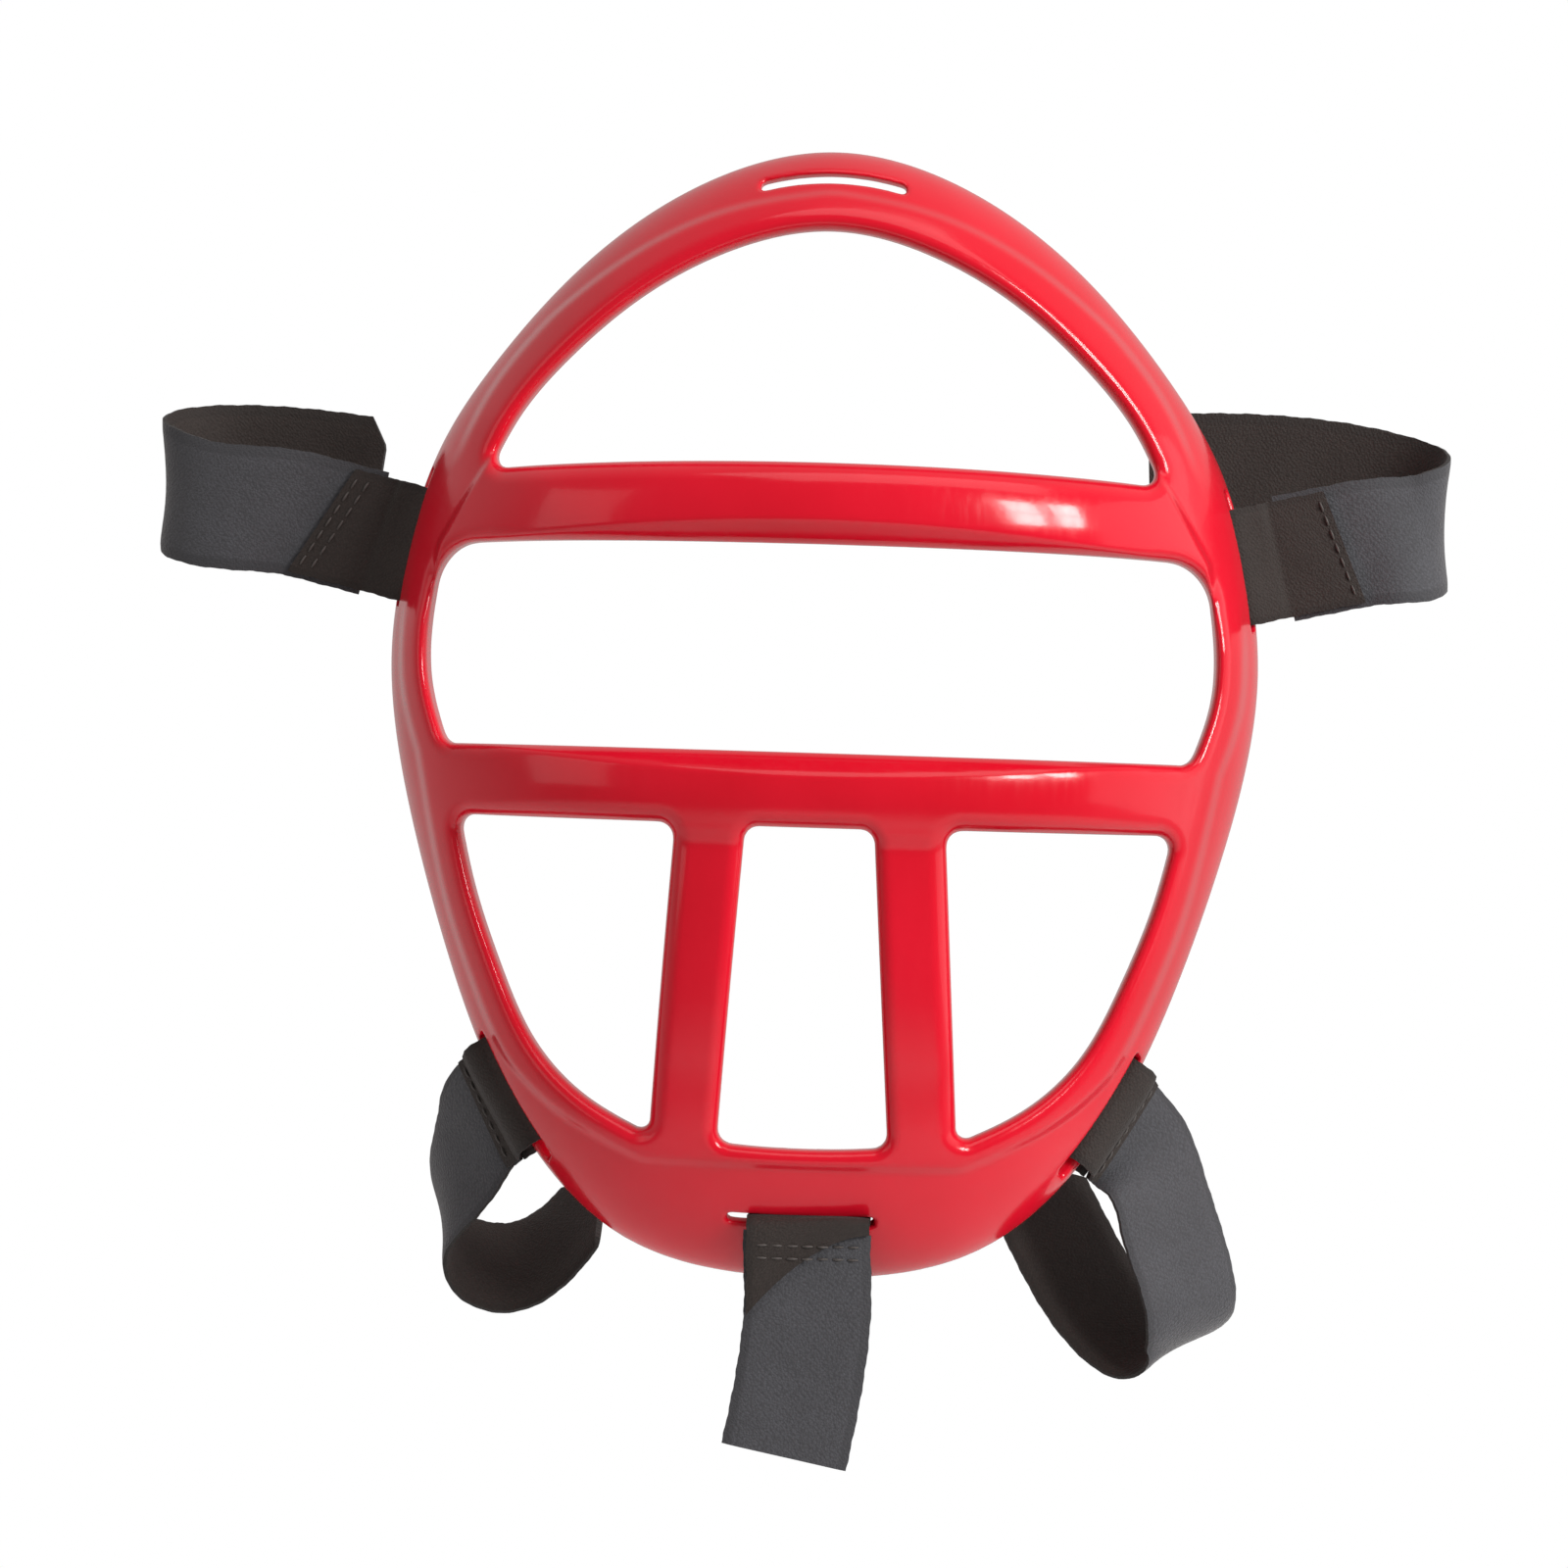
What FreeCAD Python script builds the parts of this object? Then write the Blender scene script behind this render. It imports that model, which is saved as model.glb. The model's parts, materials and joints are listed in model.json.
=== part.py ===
import FreeCAD, Part
import math
import os

V = FreeCAD.Vector

# A one-piece moulded face guard with five hook-and-loop straps. Millimetres.
# X is across the mask, Y runs from the front (negative) back to the face, Z is up.
# The origin is the middle of the face opening, in the plane of the side rims.

# ------------------------------------------------------------------ moulded guard
WALL = 3.0                  # thickness of the flange and of the lands round the slots
BAR_WALL = 6.0              # thickness of the bars, front to back
THICKEN_FROM = 0.90         # dome level where the wall starts to thicken, going inwards
THICKEN_TO = 0.74           # dome level where it has its full thickness
BULGE = -66.0               # depth of the middle of the guard, in front of the side rim
CENTRE_Z = 6.0              # height that the dome's level curves shrink towards
RIM_SWEEP = 0.0016          # how fast the rim comes forward towards crown and chin, per mm
DOME_A = 2.4                # dome profile: (1 - level ** DOME_A) ** DOME_B
DOME_B = 0.6
LEVELS = [1.0, 0.985, 0.96, 0.92, 0.86, 0.77, 0.65, 0.5, 0.33, 0.12]
EDGE_ROUND = {"mouth": 2.6, "jaw_right": 2.2, "jaw_left": 2.2, "arch": 2.2, "eye": 1.4}
ARCH_ZONE = 38.0            # edges wholly above this height belong to the arch opening
EYE_ZONE = -20.0            # then wholly above this one, to the eye opening
MOUTH_ZONE = 20.0           # and below it, wholly within this half width, to the middle opening
COLUMN_FRONT = -90.0        # opening columns start here, in front of the guard
COLUMN_LENGTH = 130.0

# Right half of the rim outline seen from the front, crown to chin (x, z).
OUTLINE = [(0, 112), (28.4, 104.8), (54.5, 86.6), (71.2, 68.0), (83.2, 49.5), (90.6, 26.5),
           (93.2, 4.0), (91.2, -15.0), (85.6, -37.5), (77.2, -62.5), (64.5, -89.5),
           (38.0, -116.8), (0, -124)]

# Openings seen from the front. Curves are right-half points (x, z).
ARCH = [(69.8, 42.2), (63.4, 54.6), (53.2, 66.4), (39.4, 78.0), (20.5, 88.1), (0, 92.4)]
BROW_TOP = 43.2             # top of the brow bar at the middle
EYE_SIDE = [(79.6, 27.3), (82.0, 12.0), (81.9, -1.0), (77.4, -15.3)]
JAW_CURVE = [(74.4, -29.6), (70.6, -45.0), (64.4, -61.0), (56.5, -76.0), (45.5, -86.4), (31.4, -93.4)]
BAR_OUTER_TOP = 27.2        # outer side of an upright bar, at its top
MOUTH_TOP = (12.9, -29.9)   # top and bottom corners of the opening between the upright bars
MOUTH_BOTTOM = (17.4, -94.6)
MOUTH_SAG = 0.8
ARCH_CORNER = 2.6           # corner radii seen from the front
EYE_UPPER_CORNER = 10.0
EYE_LOWER_CORNER = 3.5
LOW_CORNER = 3.0
POINT_CORNER = 2.2

# Strap slots: (height on the rim outline, dome level, side of the mask).
SLOT_LENGTH = 30.0
SLOT_WIDTH = 4.8
SLOTS = {
    "temple_right": (29.5, 0.987, 1),
    "temple_left": (29.5, 0.987, -1),
    "jaw_right": (-91.0, 0.979, 1),
    "jaw_left": (-91.0, 0.979, -1),
    "chin": (-124.0, 0.892, 0),
    "crown": (112.0, 0.912, 0),
}

# ------------------------------------------------------------------ straps
STRAP_WIDTH = 25.0
LOOP_TAPE = 1.8             # thickness of the loop tape, pile included
HOOK_TAPE = 1.2             # thickness of the hook tape
TAPE_GAP = 0.2              # air between two tapes that are pressed together
STITCH_RADIUS = 0.25
STITCH_LENGTH = 2.2
STITCH_PITCH = 3.2
CHIN_ROWS = 2
STITCH_ROW_GAP = 2.6

# Each side strap: radius of the wrap round the slot bar, shift of its axis (towards the rim, into
# the wall), how far it has slid up its slot, way out from the bar, where the two tails of hook tape
# meet the loop tape ("closure"), lengths of the front and rear tails, rows of stitches, and the
# loop tape: its width, where it leaves the straight, and its free run as (centre, width direction).
SIDE_STRAPS = {
    "temple_left": {
        "wrap": 3.6, "shift": (0.1, 0.7), "slide": -1.7, "out": (-1, 0, 0), "closure": 9.0,
        "front_tail": 24.0, "rear_tail": 20.0, "rows": 2, "loop_width": 27.0, "straight": 25.5,
        "run": [((-125.0, -3.9, 34.5), (0.14, -0.03, 0.99)), ((-135.0, -2.0, 35.4), (0.07, 0, 1)),
                ((-141.8, 2.4, 37.7), (0.02, 0, 1)), ((-144.4, 8.8, 40.6), (0, 0, 1)),
                ((-141.8, 15.6, 43.6), (0, 0, 1)), ((-134.0, 20.6, 45.3), (0, 0, 1)),
                ((-122.0, 22.8, 45.5), (0.02, 0, 1)), ((-110.0, 22.8, 44.6), (0.05, 0, 1)),
                ((-100.0, 22.0, 43.4), (0.06, 0, 1))]},
    "temple_right": {
        "wrap": 3.6, "shift": (0.1, 0.7), "slide": -1.5, "out": (1, 0, 0), "closure": 9.0,
        "front_tail": 22.0, "rear_tail": 20.0, "rows": 1, "loop_width": 27.0, "straight": 25.5,
        "run": [((121.0, -3.2, 34.7), (-0.12, 0, 0.99)), ((128.0, 0.0, 35.8), (-0.05, 0, 1)),
                ((131.8, 6.0, 38.9), (0, 0, 1)), ((130.4, 13.0, 42.3), (0, 0, 1)),
                ((124.0, 18.6, 45.4), (0, 0, 1)), ((113.0, 21.8, 48.1), (0, 0, 1)),
                ((100.0, 23.6, 49.6), (0, 0, 1)), ((86.0, 24.8, 50.0), (0, 0, 1)),
                ((70.0, 25.8, 49.4), (0, 0, 1))]},
    "jaw_right": {
        "wrap": 4.1, "shift": (-0.5, 0.7), "slide": 1.9, "out": (0.5, 0.75, -0.45), "closure": 6.2,
        "front_tail": 7.4, "rear_tail": 7.4, "rows": 1, "loop_width": 25.0, "straight": 9.4,
        "run": [((72.6, -9.5, -99.6), (0.62, 0.50, 0.60)), ((76.8, -9.0, -110.4), (0.74, 0.55, 0.40)),
                ((80.6, -8.0, -121.2), (0.77, 0.57, 0.30)), ((82.9, -5.5, -131.4), (0.77, 0.57, 0.28)),
                ((81.4, -1.0, -137.8), (0.77, 0.54, 0.33)), ((75.2, 3.0, -139.8), (0.77, 0.53, 0.34)),
                ((67.7, 6.0, -135.6), (0.77, 0.54, 0.34)), ((56.6, 8.0, -120.4), (0.77, 0.52, 0.36)),
                ((49.0, 9.0, -106.3), (0.76, 0.54, 0.36))]},
    "jaw_left": {
        "wrap": 4.1, "shift": (-0.5, 0.7), "slide": 1.9, "out": (-0.58, 0.6, -0.52), "closure": 6.2,
        "front_tail": 7.8, "rear_tail": 7.4, "rows": 1, "loop_width": 25.0, "straight": 10.4,
        "run": [((-71.6, -7.4, -99.8), (-0.46, 0.34, 0.82)), ((-76.0, -3.0, -109.4), (-0.34, 0.58, 0.74)),
                ((-78.0, 0.5, -118.2), (-0.20, 0.71, 0.67)), ((-74.0, 4.0, -125.5), (-0.15, 0.74, 0.66)),
                ((-65.0, 6.0, -128.2), (-0.15, 0.73, 0.67)), ((-55.2, 5.8, -123.2), (-0.17, 0.73, 0.66)),
                ((-47.0, 4.4, -113.4), (-0.19, 0.75, 0.64))]},
}

# The chin strap's hook tape is wrapped tight round the chin plate. Its loop tape is sewn to the
# front of that wrap and hangs from there. Wrap points are (y, z), slot edge first, then down the
# front, round the rim and up the back of the plate.
CHIN_X = 1.8                # middle of the chin strap in its slot
CHIN_WRAP = [(-39.8, -109.2), (-41.4, -110.6), (-41.7, -112.9), (-41.0, -114.8), (-37.9, -118.5),
             (-34.2, -121.8), (-29.9, -124.2), (-27.2, -124.8), (-25.4, -123.6), (-24.9, -121.3),
             (-26.9, -119.5), (-30.1, -118.2), (-33.6, -115.4), (-36.6, -112.0), (-38.3, -109.8)]
CHIN_RUN = [((1.8, -44.7, -112.6), (1, 0, 0)), ((1.8, -44.8, -116.0), (1, 0, 0)),
            ((2.4, -44.8, -121.0), (1, 0, 0)),
            ((2.7, -44.9, -129.5), (1, 0, -0.04)), ((2.0, -45.0, -138.5), (1, 0, -0.10)),
            ((0.5, -45.0, -148.5), (1, 0, -0.15)), ((-1.4, -45.0, -158.6), (1, 0, -0.18))]
CHIN_SEAM_Z = -115.2        # first row of stitches, near the top of the hanging tape


def line(a, b):
    """Straight edge."""
    return Part.LineSegment(a, b).toShape()


def spline(points):
    """Smooth open edge through the points."""
    curve = Part.BSplineCurve()
    curve.interpolate(Points=points)
    return curve.toShape()


def smooth_loop(points):
    """Closed smooth curve through the points."""
    curve = Part.BSplineCurve()
    curve.interpolate(Points=points, PeriodicFlag=True)
    return curve


def mirrored(points):
    """Left-half copies of right-half points."""
    return [(-x, z) for x, z in points]


def whole_outline():
    """Both halves of the rim outline, once round, starting at the crown."""
    return OUTLINE + mirrored(OUTLINE[-2:0:-1])


# ------------------------------------------------------------------ guard: the dome
def dome_point(x, z, level):
    """Point of the outer surface that a rim point moves to at this level (1 rim, 0 centre)."""
    rim_y = -RIM_SWEEP * (z - CENTRE_Z) ** 2
    rise = (1.0 - level ** DOME_A) ** DOME_B
    return V(x * level, rim_y + (BULGE - rim_y) * rise, CENTRE_Z + (z - CENTRE_Z) * level)


def dome_ring(level):
    """Closed level curve of the outer surface."""
    return smooth_loop([dome_point(x, z, level) for x, z in whole_outline()])


def surface_normal(ring, x, z, level):
    """Outward unit normal of the outer surface, and the ring's direction, below a rim point."""
    along = ring.tangent(ring.parameter(dome_point(x, z, level)))[0]
    if level > 0.999:
        across = V(0, 1, 0)
    else:
        across = dome_point(x, z, min(level + 0.004, 1.0)) - dome_point(x, z, level - 0.004)
    normal = along.cross(across).normalize()
    if normal.dot(V(x, -20, z - CENTRE_Z)) < 0:
        normal = normal * -1
    return normal, along


def wall_at(level):
    """Shell thickness at a level: thin at the rim, full in the bars."""
    share = min(1.0, max(0.0, (THICKEN_FROM - level) / (THICKEN_FROM - THICKEN_TO)))
    return WALL + (BAR_WALL - WALL) * share * share * (3 - 2 * share)


def dome_solid(hollow):
    """Solid dome up to the outer surface, or up to the inner one when `hollow`."""
    rim = whole_outline()
    ring = dome_ring(1.0)
    wires = []
    for back_y in (30.0, 14.0):
        points = []
        for x, z in rim:
            normal, _ = surface_normal(ring, x, z, 1.0)
            flat = V(normal.x, 0, normal.z).normalize()
            inset = WALL if hollow else 0.0
            points.append(V(x, back_y + inset, z) - flat * inset)
        wires.append(Part.Wire(smooth_loop(points).toShape()))
    for level in LEVELS:
        ring = dome_ring(level)
        inset = wall_at(level) if hollow else 0.0
        points = [dome_point(x, z, level) - surface_normal(ring, x, z, level)[0] * inset for x, z in rim]
        if level == LEVELS[-1]:
            flat_y = sum(p.y for p in points) / len(points)
            points = [V(p.x, flat_y, p.z) for p in points]
        wires.append(Part.Wire(smooth_loop(points).toShape()))
    return Part.makeLoft(wires, True, False)


def rim_cutter():
    """Everything behind the swept rim."""
    zs = (-150, -110, -70, -30, CENTRE_Z, 50, 90, 130)
    curve = [V(-120, -RIM_SWEEP * (z - CENTRE_Z) ** 2, z) for z in zs]
    far = [V(-120, 90, zs[-1]), V(-120, 90, zs[0])]
    edges = [spline(curve), line(curve[-1], far[0]), line(far[0], far[1]), line(far[1], curve[0])]
    return Part.Face(Part.Wire(edges)).extrude(V(240, 0, 0))


# ------------------------------------------------------------------ guard: the openings
def on_front(points):
    """Points (x, z) placed in the plane well in front of the mask."""
    return [V(x, COLUMN_FRONT, z) for x, z in points]


def column(edges, corners):
    """Solid that runs straight back through the mask, with rounded (x, z, radius) corners."""
    solid = Part.Face(Part.Wire(Part.__sortEdges__(edges))).extrude(V(0, COLUMN_LENGTH, 0))
    for x, z, radius in corners:
        upright = [e for e in solid.Edges if abs(e.tangentAt(e.FirstParameter).y) > 0.99]
        edge = min(upright, key=lambda e: math.hypot(e.Vertexes[0].X - x, e.Vertexes[0].Z - z))
        solid = solid.makeFillet(radius, [edge])
    return solid


def both_sides(point, radius):
    """The same corner on the left and on the right."""
    return [(-point[0], point[1], radius), (point[0], point[1], radius)]


def arch_opening():
    left = on_front(mirrored(ARCH))
    right = on_front(ARCH)
    bottom = Part.Arc(left[0], V(0, COLUMN_FRONT, BROW_TOP), right[0]).toShape()
    return column([spline(left + right[-2::-1]), bottom], both_sides(ARCH[0], ARCH_CORNER))


def eye_opening():
    right = on_front(EYE_SIDE)
    left = on_front(mirrored(EYE_SIDE))
    edges = [spline(right), spline(left), line(right[0], left[0]), line(right[-1], left[-1])]
    corners = both_sides(EYE_SIDE[0], EYE_UPPER_CORNER) + both_sides(EYE_SIDE[-1], EYE_LOWER_CORNER)
    return column(edges, corners)


def jaw_opening(side):
    points = on_front([(side * x, z) for x, z in JAW_CURVE])
    inner = V(side * BAR_OUTER_TOP, COLUMN_FRONT, JAW_CURVE[0][1])
    edges = [spline(points), line(points[-1], inner), line(inner, points[0])]
    corners = [(points[0].x, points[0].z, LOW_CORNER), (inner.x, inner.z, LOW_CORNER),
               (points[-1].x, points[-1].z, POINT_CORNER)]
    return column(edges, corners)


def mouth_opening():
    top = on_front([(-MOUTH_TOP[0], MOUTH_TOP[1]), MOUTH_TOP])
    low = on_front([(-MOUTH_BOTTOM[0], MOUTH_BOTTOM[1]), MOUTH_BOTTOM])
    sag = Part.Arc(low[0], V(0, COLUMN_FRONT, MOUTH_BOTTOM[1] - MOUTH_SAG), low[1]).toShape()
    edges = [line(top[0], top[1]), line(top[0], low[0]), line(top[1], low[1]), sag]
    return column(edges, both_sides(MOUTH_TOP, LOW_CORNER) + both_sides(MOUTH_BOTTOM, LOW_CORNER))


# ------------------------------------------------------------------ guard: the slots
def rim_point(height, side):
    """Point (x, z) on the rim outline at this height."""
    if side == 0:
        return 0.0, height
    loop = smooth_loop([V(x, 0, z) for x, z in whole_outline()])
    ray = line(V(0, 0, height), V(side * 200, 0, height))
    hit = loop.toShape().distToShape(ray)[1][0][0]
    return hit.x, hit.z


def slot_frame(name):
    """Middle of a slot in mid wall, its length direction, outward normal and rimward direction."""
    height, level, side = SLOTS[name]
    x, z = rim_point(height, side)
    normal, along = surface_normal(dome_ring(level), x, z, level)
    if side == 0:
        along = V(1, 0, 0)
    elif along.z < 0:
        along = along * -1
    rimward = normal.cross(along).normalize()
    if rimward.y < 0:
        rimward = rimward * -1
    return dome_point(x, z, level) - normal * (WALL / 2), along, normal, rimward


def slot_cutter(name):
    """Rounded bar that cuts one strap slot square through the wall."""
    middle, along, normal, rimward = slot_frame(name)
    corner = middle - along * (SLOT_LENGTH / 2) - rimward * (SLOT_WIDTH / 2) - normal * 6
    points = [corner, corner + along * SLOT_LENGTH, corner + along * SLOT_LENGTH + rimward * SLOT_WIDTH,
              corner + rimward * SLOT_WIDTH]
    solid = Part.Face(Part.makePolygon(points + points[:1])).extrude(normal * 12)
    upright = [e for e in solid.Edges if abs(e.tangentAt(e.FirstParameter).dot(normal)) > 0.99]
    return solid.makeFillet(1.0, upright)


def zone_of(edge):
    """Which opening an edge of the outer skin belongs to."""
    box = edge.BoundBox
    if box.ZMin > ARCH_ZONE:
        return "arch"
    if box.ZMin > EYE_ZONE:
        return "eye"
    if max(abs(box.XMin), abs(box.XMax)) < MOUTH_ZONE:
        return "mouth"
    return "jaw_right" if box.Center.x > 0 else "jaw_left"


def rolled_edges(frame, zone):
    """Edges where the walls of one zone's opening and slots meet the outer skin."""
    skin = max(frame.Faces, key=lambda f: f.Area)
    rim = max((f for f in frame.Faces if f.Surface.TypeId == "Part::GeomSurfaceOfExtrusion"),
              key=lambda f: f.Area)
    edges = []
    for edge in skin.Edges:
        others = [f for f in frame.ancestorsOfType(edge, Part.Face) if not f.isSame(skin)]
        if others and not others[0].isSame(rim) and zone_of(edge) == zone:
            edges.append(edge)
    return edges


def mask_frame():
    """The whole moulded guard."""
    frame = dome_solid(False).cut(dome_solid(True)).cut(rim_cutter())
    holes = [arch_opening(), eye_opening(), mouth_opening(), jaw_opening(1), jaw_opening(-1)]
    for tool in holes + [slot_cutter(name) for name in SLOTS]:
        frame = frame.cut(tool).Solids[0]
    for zone, radius in EDGE_ROUND.items():
        frame = frame.makeFillet(radius, rolled_edges(frame, zone)).Solids[0]
    return frame


# ------------------------------------------------------------------ straps
def bar_frame(name):
    """Middle of the bar between a slot and the rim, and the directions along, out and across."""
    middle, along, normal, rimward = slot_frame(name)
    to_rim = (-RIM_SWEEP * (middle.z - CENTRE_Z) ** 2 - middle.y) / rimward.y
    bar_width = to_rim - SLOT_WIDTH / 2
    rim_shift, depth_shift = SIDE_STRAPS[name]["shift"]
    centre = middle + rimward * (SLOT_WIDTH / 2 + bar_width / 2 + rim_shift) - normal * depth_shift
    centre = centre + along * SIDE_STRAPS[name]["slide"]
    out = V(*SIDE_STRAPS[name]["out"])
    out = (out - along * out.dot(along)).normalize()
    across = along.cross(out)
    if across.y < 0:
        across = across * -1
    return centre, along, out, across


def tangent_point(px, py, radius):
    """Where the tangent from a point (px, py), py > 0, touches a circle at the origin."""
    angle = math.atan2(py, px) + math.acos(radius / math.hypot(px, py))
    return radius * math.cos(angle), radius * math.sin(angle)


def hook_tape(name):
    """Tape that goes through the slot, round the slot bar and back out on itself."""
    spec = SIDE_STRAPS[name]
    centre, along, out, across = bar_frame(name)
    inner = spec["wrap"]
    outer = inner + HOOK_TAPE
    half_gap = LOOP_TAPE / 2 + TAPE_GAP
    closure = spec["closure"]
    near = tangent_point(closure, half_gap, inner)
    far = tangent_point(closure, half_gap + HOOK_TAPE, outer)

    def at(u, v):
        return centre + out * u + across * v - along * (STRAP_WIDTH / 2)

    rear, front = spec["rear_tail"], spec["front_tail"]
    edges = [line(at(rear, half_gap + HOOK_TAPE), at(closure, half_gap + HOOK_TAPE)),
             line(at(closure, half_gap + HOOK_TAPE), at(*far)),
             Part.Arc(at(*far), at(-outer, 0), at(far[0], -far[1])).toShape(),
             line(at(far[0], -far[1]), at(closure, -half_gap - HOOK_TAPE)),
             line(at(closure, -half_gap - HOOK_TAPE), at(front, -half_gap - HOOK_TAPE)),
             line(at(front, -half_gap - HOOK_TAPE), at(front, -half_gap)),
             line(at(front, -half_gap), at(closure, -half_gap)),
             line(at(closure, -half_gap), at(near[0], -near[1])),
             Part.Arc(at(near[0], -near[1]), at(-inner, 0), at(*near)).toShape(),
             line(at(*near), at(closure, half_gap)),
             line(at(closure, half_gap), at(rear, half_gap)),
             line(at(rear, half_gap), at(rear, half_gap + HOOK_TAPE))]
    return Part.Face(Part.Wire(edges)).extrude(along * STRAP_WIDTH)


def ribbon(stations, thickness, breadth):
    """Strap through (centre, width direction) stations, skinned between its four long edges."""
    centres = [V(*c) for c, _ in stations]
    path = Part.BSplineCurve()
    path.interpolate(Points=centres)
    corners = []
    for centre, (_, width) in zip(centres, stations):
        tangent = path.tangent(path.parameter(centre))[0]
        wide = V(*width)
        wide = (wide - tangent * wide.dot(tangent)).normalize() * (breadth / 2)
        thick = tangent.cross(wide).normalize() * (thickness / 2)
        corners.append([centre - wide - thick, centre + wide - thick,
                        centre + wide + thick, centre - wide + thick])
    rails = [spline([c[i] for c in corners]) for i in range(4)]
    faces = [Part.makeRuledSurface(rails[i], rails[(i + 1) % 4], 1) for i in range(4)]
    faces += [Part.Face(Part.makePolygon(c + c[:1])) for c in (corners[0], corners[-1])]
    skin = Part.Compound(faces)
    skin.sewShape()
    return Part.Solid(skin.Shells[0])


def loop_tape(name):
    """Free part of a side strap: straight out of the closure, then round its fold and back."""
    spec = SIDE_STRAPS[name]
    centre, along, out, across = bar_frame(name)
    start = spec["closure"] + 0.6
    length = spec["straight"] - start
    steps = max(1, round(length / 2))
    stations = [(tuple(centre + out * (start + length * i / steps)), tuple(along)) for i in range(steps + 1)]
    return ribbon(stations + spec["run"], LOOP_TAPE, spec["loop_width"])


def stitch_rows(rows, origin, along, step, normal):
    """Rows of short thread stitches across a tape, lying on its face."""
    solids = []
    count = int((STRAP_WIDTH - 4) / STITCH_PITCH)
    for row in range(rows):
        for i in range(count):
            shift = (i - (count - 1) / 2) * STITCH_PITCH - STITCH_LENGTH / 2
            start = origin + along * shift + step * (row * STITCH_ROW_GAP) + normal * (STITCH_RADIUS + 0.02)
            solids.append(Part.makeCylinder(STITCH_RADIUS, STITCH_LENGTH, start, along))
    return Part.makeCompound(solids)


def side_stitches(name):
    """Stitching on the front tail of a side strap's hook tape."""
    spec = SIDE_STRAPS[name]
    centre, along, out, across = bar_frame(name)
    lift = LOOP_TAPE / 2 + TAPE_GAP + HOOK_TAPE
    inset = min(1.6, (spec["front_tail"] - spec["closure"]) / 2)
    origin = centre + out * (spec["front_tail"] - inset) - across * lift
    return stitch_rows(spec["rows"], origin, along, out * -1, across * -1)


def chin_hook_tape():
    """Closed wrap of hook tape round the plate between the chin slot and the rim."""
    left = V(CHIN_X - STRAP_WIDTH / 2, 0, 0)
    inner = smooth_loop([V(0, y, z) for y, z in CHIN_WRAP])
    outer_points = []
    count = 2 * len(CHIN_WRAP)
    for i in range(count):
        at = inner.FirstParameter + (inner.LastParameter - inner.FirstParameter) * i / count
        away = inner.tangent(at)[0].cross(V(1, 0, 0)).normalize()
        outer_points.append(inner.value(at) + away * HOOK_TAPE)
    outer = smooth_loop(outer_points)
    length = V(STRAP_WIDTH, 0, 0)
    blocks = [Part.Face(Part.Wire(loop.toShape())).extrude(length) for loop in (outer, inner)]
    band = blocks[0].cut(blocks[1])
    band.translate(left)
    return band.Solids[0]


def chin_stitches():
    """Rows of stitches through the top of the hanging tape."""
    front_y = CHIN_RUN[1][0][1] - LOOP_TAPE / 2 - TAPE_GAP
    origin = V(CHIN_X, front_y, CHIN_SEAM_Z)
    return stitch_rows(CHIN_ROWS, origin, V(1, 0, 0), V(0, 0, -1), V(0, -1, 0))


def main():
    os.makedirs("parts", exist_ok=True)
    parts = {"mask_frame": mask_frame(), "chin_strap_hook_tape": chin_hook_tape(),
             "chin_strap_loop_tape": ribbon(CHIN_RUN, LOOP_TAPE, STRAP_WIDTH), "chin_strap_stitching": chin_stitches()}
    for name in SIDE_STRAPS:
        label = name.replace("_", "_strap_")
        parts[label + "_hook_tape"] = hook_tape(name)
        parts[label + "_loop_tape"] = loop_tape(name)
        parts[label + "_stitching"] = side_stitches(name)
    for name, shape in parts.items():
        shape.exportStep("parts/" + name + ".step")


if __name__ == "__main__":
    main()
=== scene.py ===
import json
import math

import bpy
import numpy as np
import openvdb
from mathutils import Matrix, Vector


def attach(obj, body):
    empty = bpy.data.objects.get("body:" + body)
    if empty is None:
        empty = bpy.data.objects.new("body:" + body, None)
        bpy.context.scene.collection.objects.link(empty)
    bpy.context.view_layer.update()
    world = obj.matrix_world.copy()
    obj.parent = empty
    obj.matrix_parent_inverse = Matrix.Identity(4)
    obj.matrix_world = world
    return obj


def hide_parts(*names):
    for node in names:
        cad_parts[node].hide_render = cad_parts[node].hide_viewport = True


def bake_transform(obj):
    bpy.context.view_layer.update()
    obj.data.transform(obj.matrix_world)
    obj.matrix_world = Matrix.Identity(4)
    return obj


# A red moulded face guard with five hook-and-loop straps. Shapes are worked out in millimetres and
# turned into metres when a mesh is made. X is across, Y front (negative) to back, Z up.
MM = 0.001

# ------------------------------------------------------------------ guard: the dome and its rim
VOXEL = 0.62                # mm, grid that the guard's surface is taken from
BULGE = -66.0               # depth of the middle of the dome
CENTRE_Z = 6.0              # height that the dome's level curves shrink towards
RIM_SWEEP = 0.0016          # how fast the rim comes forward towards crown and chin, per mm
DOME_A = 2.4                # dome profile: (1 - level ** DOME_A) ** DOME_B
DOME_B = 0.6
WALL = 3.0                  # wall of the flange
BAR_WALL = 6.4              # wall of the bars
BACK_ROUND = 1.3            # radius of the edges at the back
RIM_ROUND = 1.3             # radius of the rim's edge
SLOT_ROUND = 0.7
THICK_LEVELS = (0.74, 0.90)         # dome levels between which the wall thins from bars to flange
THICK_REACH = (2.2, 4.8)            # distances from an opening over which it thins as well

# Right half of the rim outline seen from the front, crown to chin (x, z).
OUTLINE = [(0, 112), (28.4, 104.8), (54.5, 86.6), (71.2, 68.0), (83.2, 49.5), (90.6, 26.5),
           (93.2, 4.0), (91.2, -15.0), (85.6, -37.5), (77.2, -62.5), (64.5, -89.5),
           (38.0, -116.8), (0, -124)]

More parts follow.
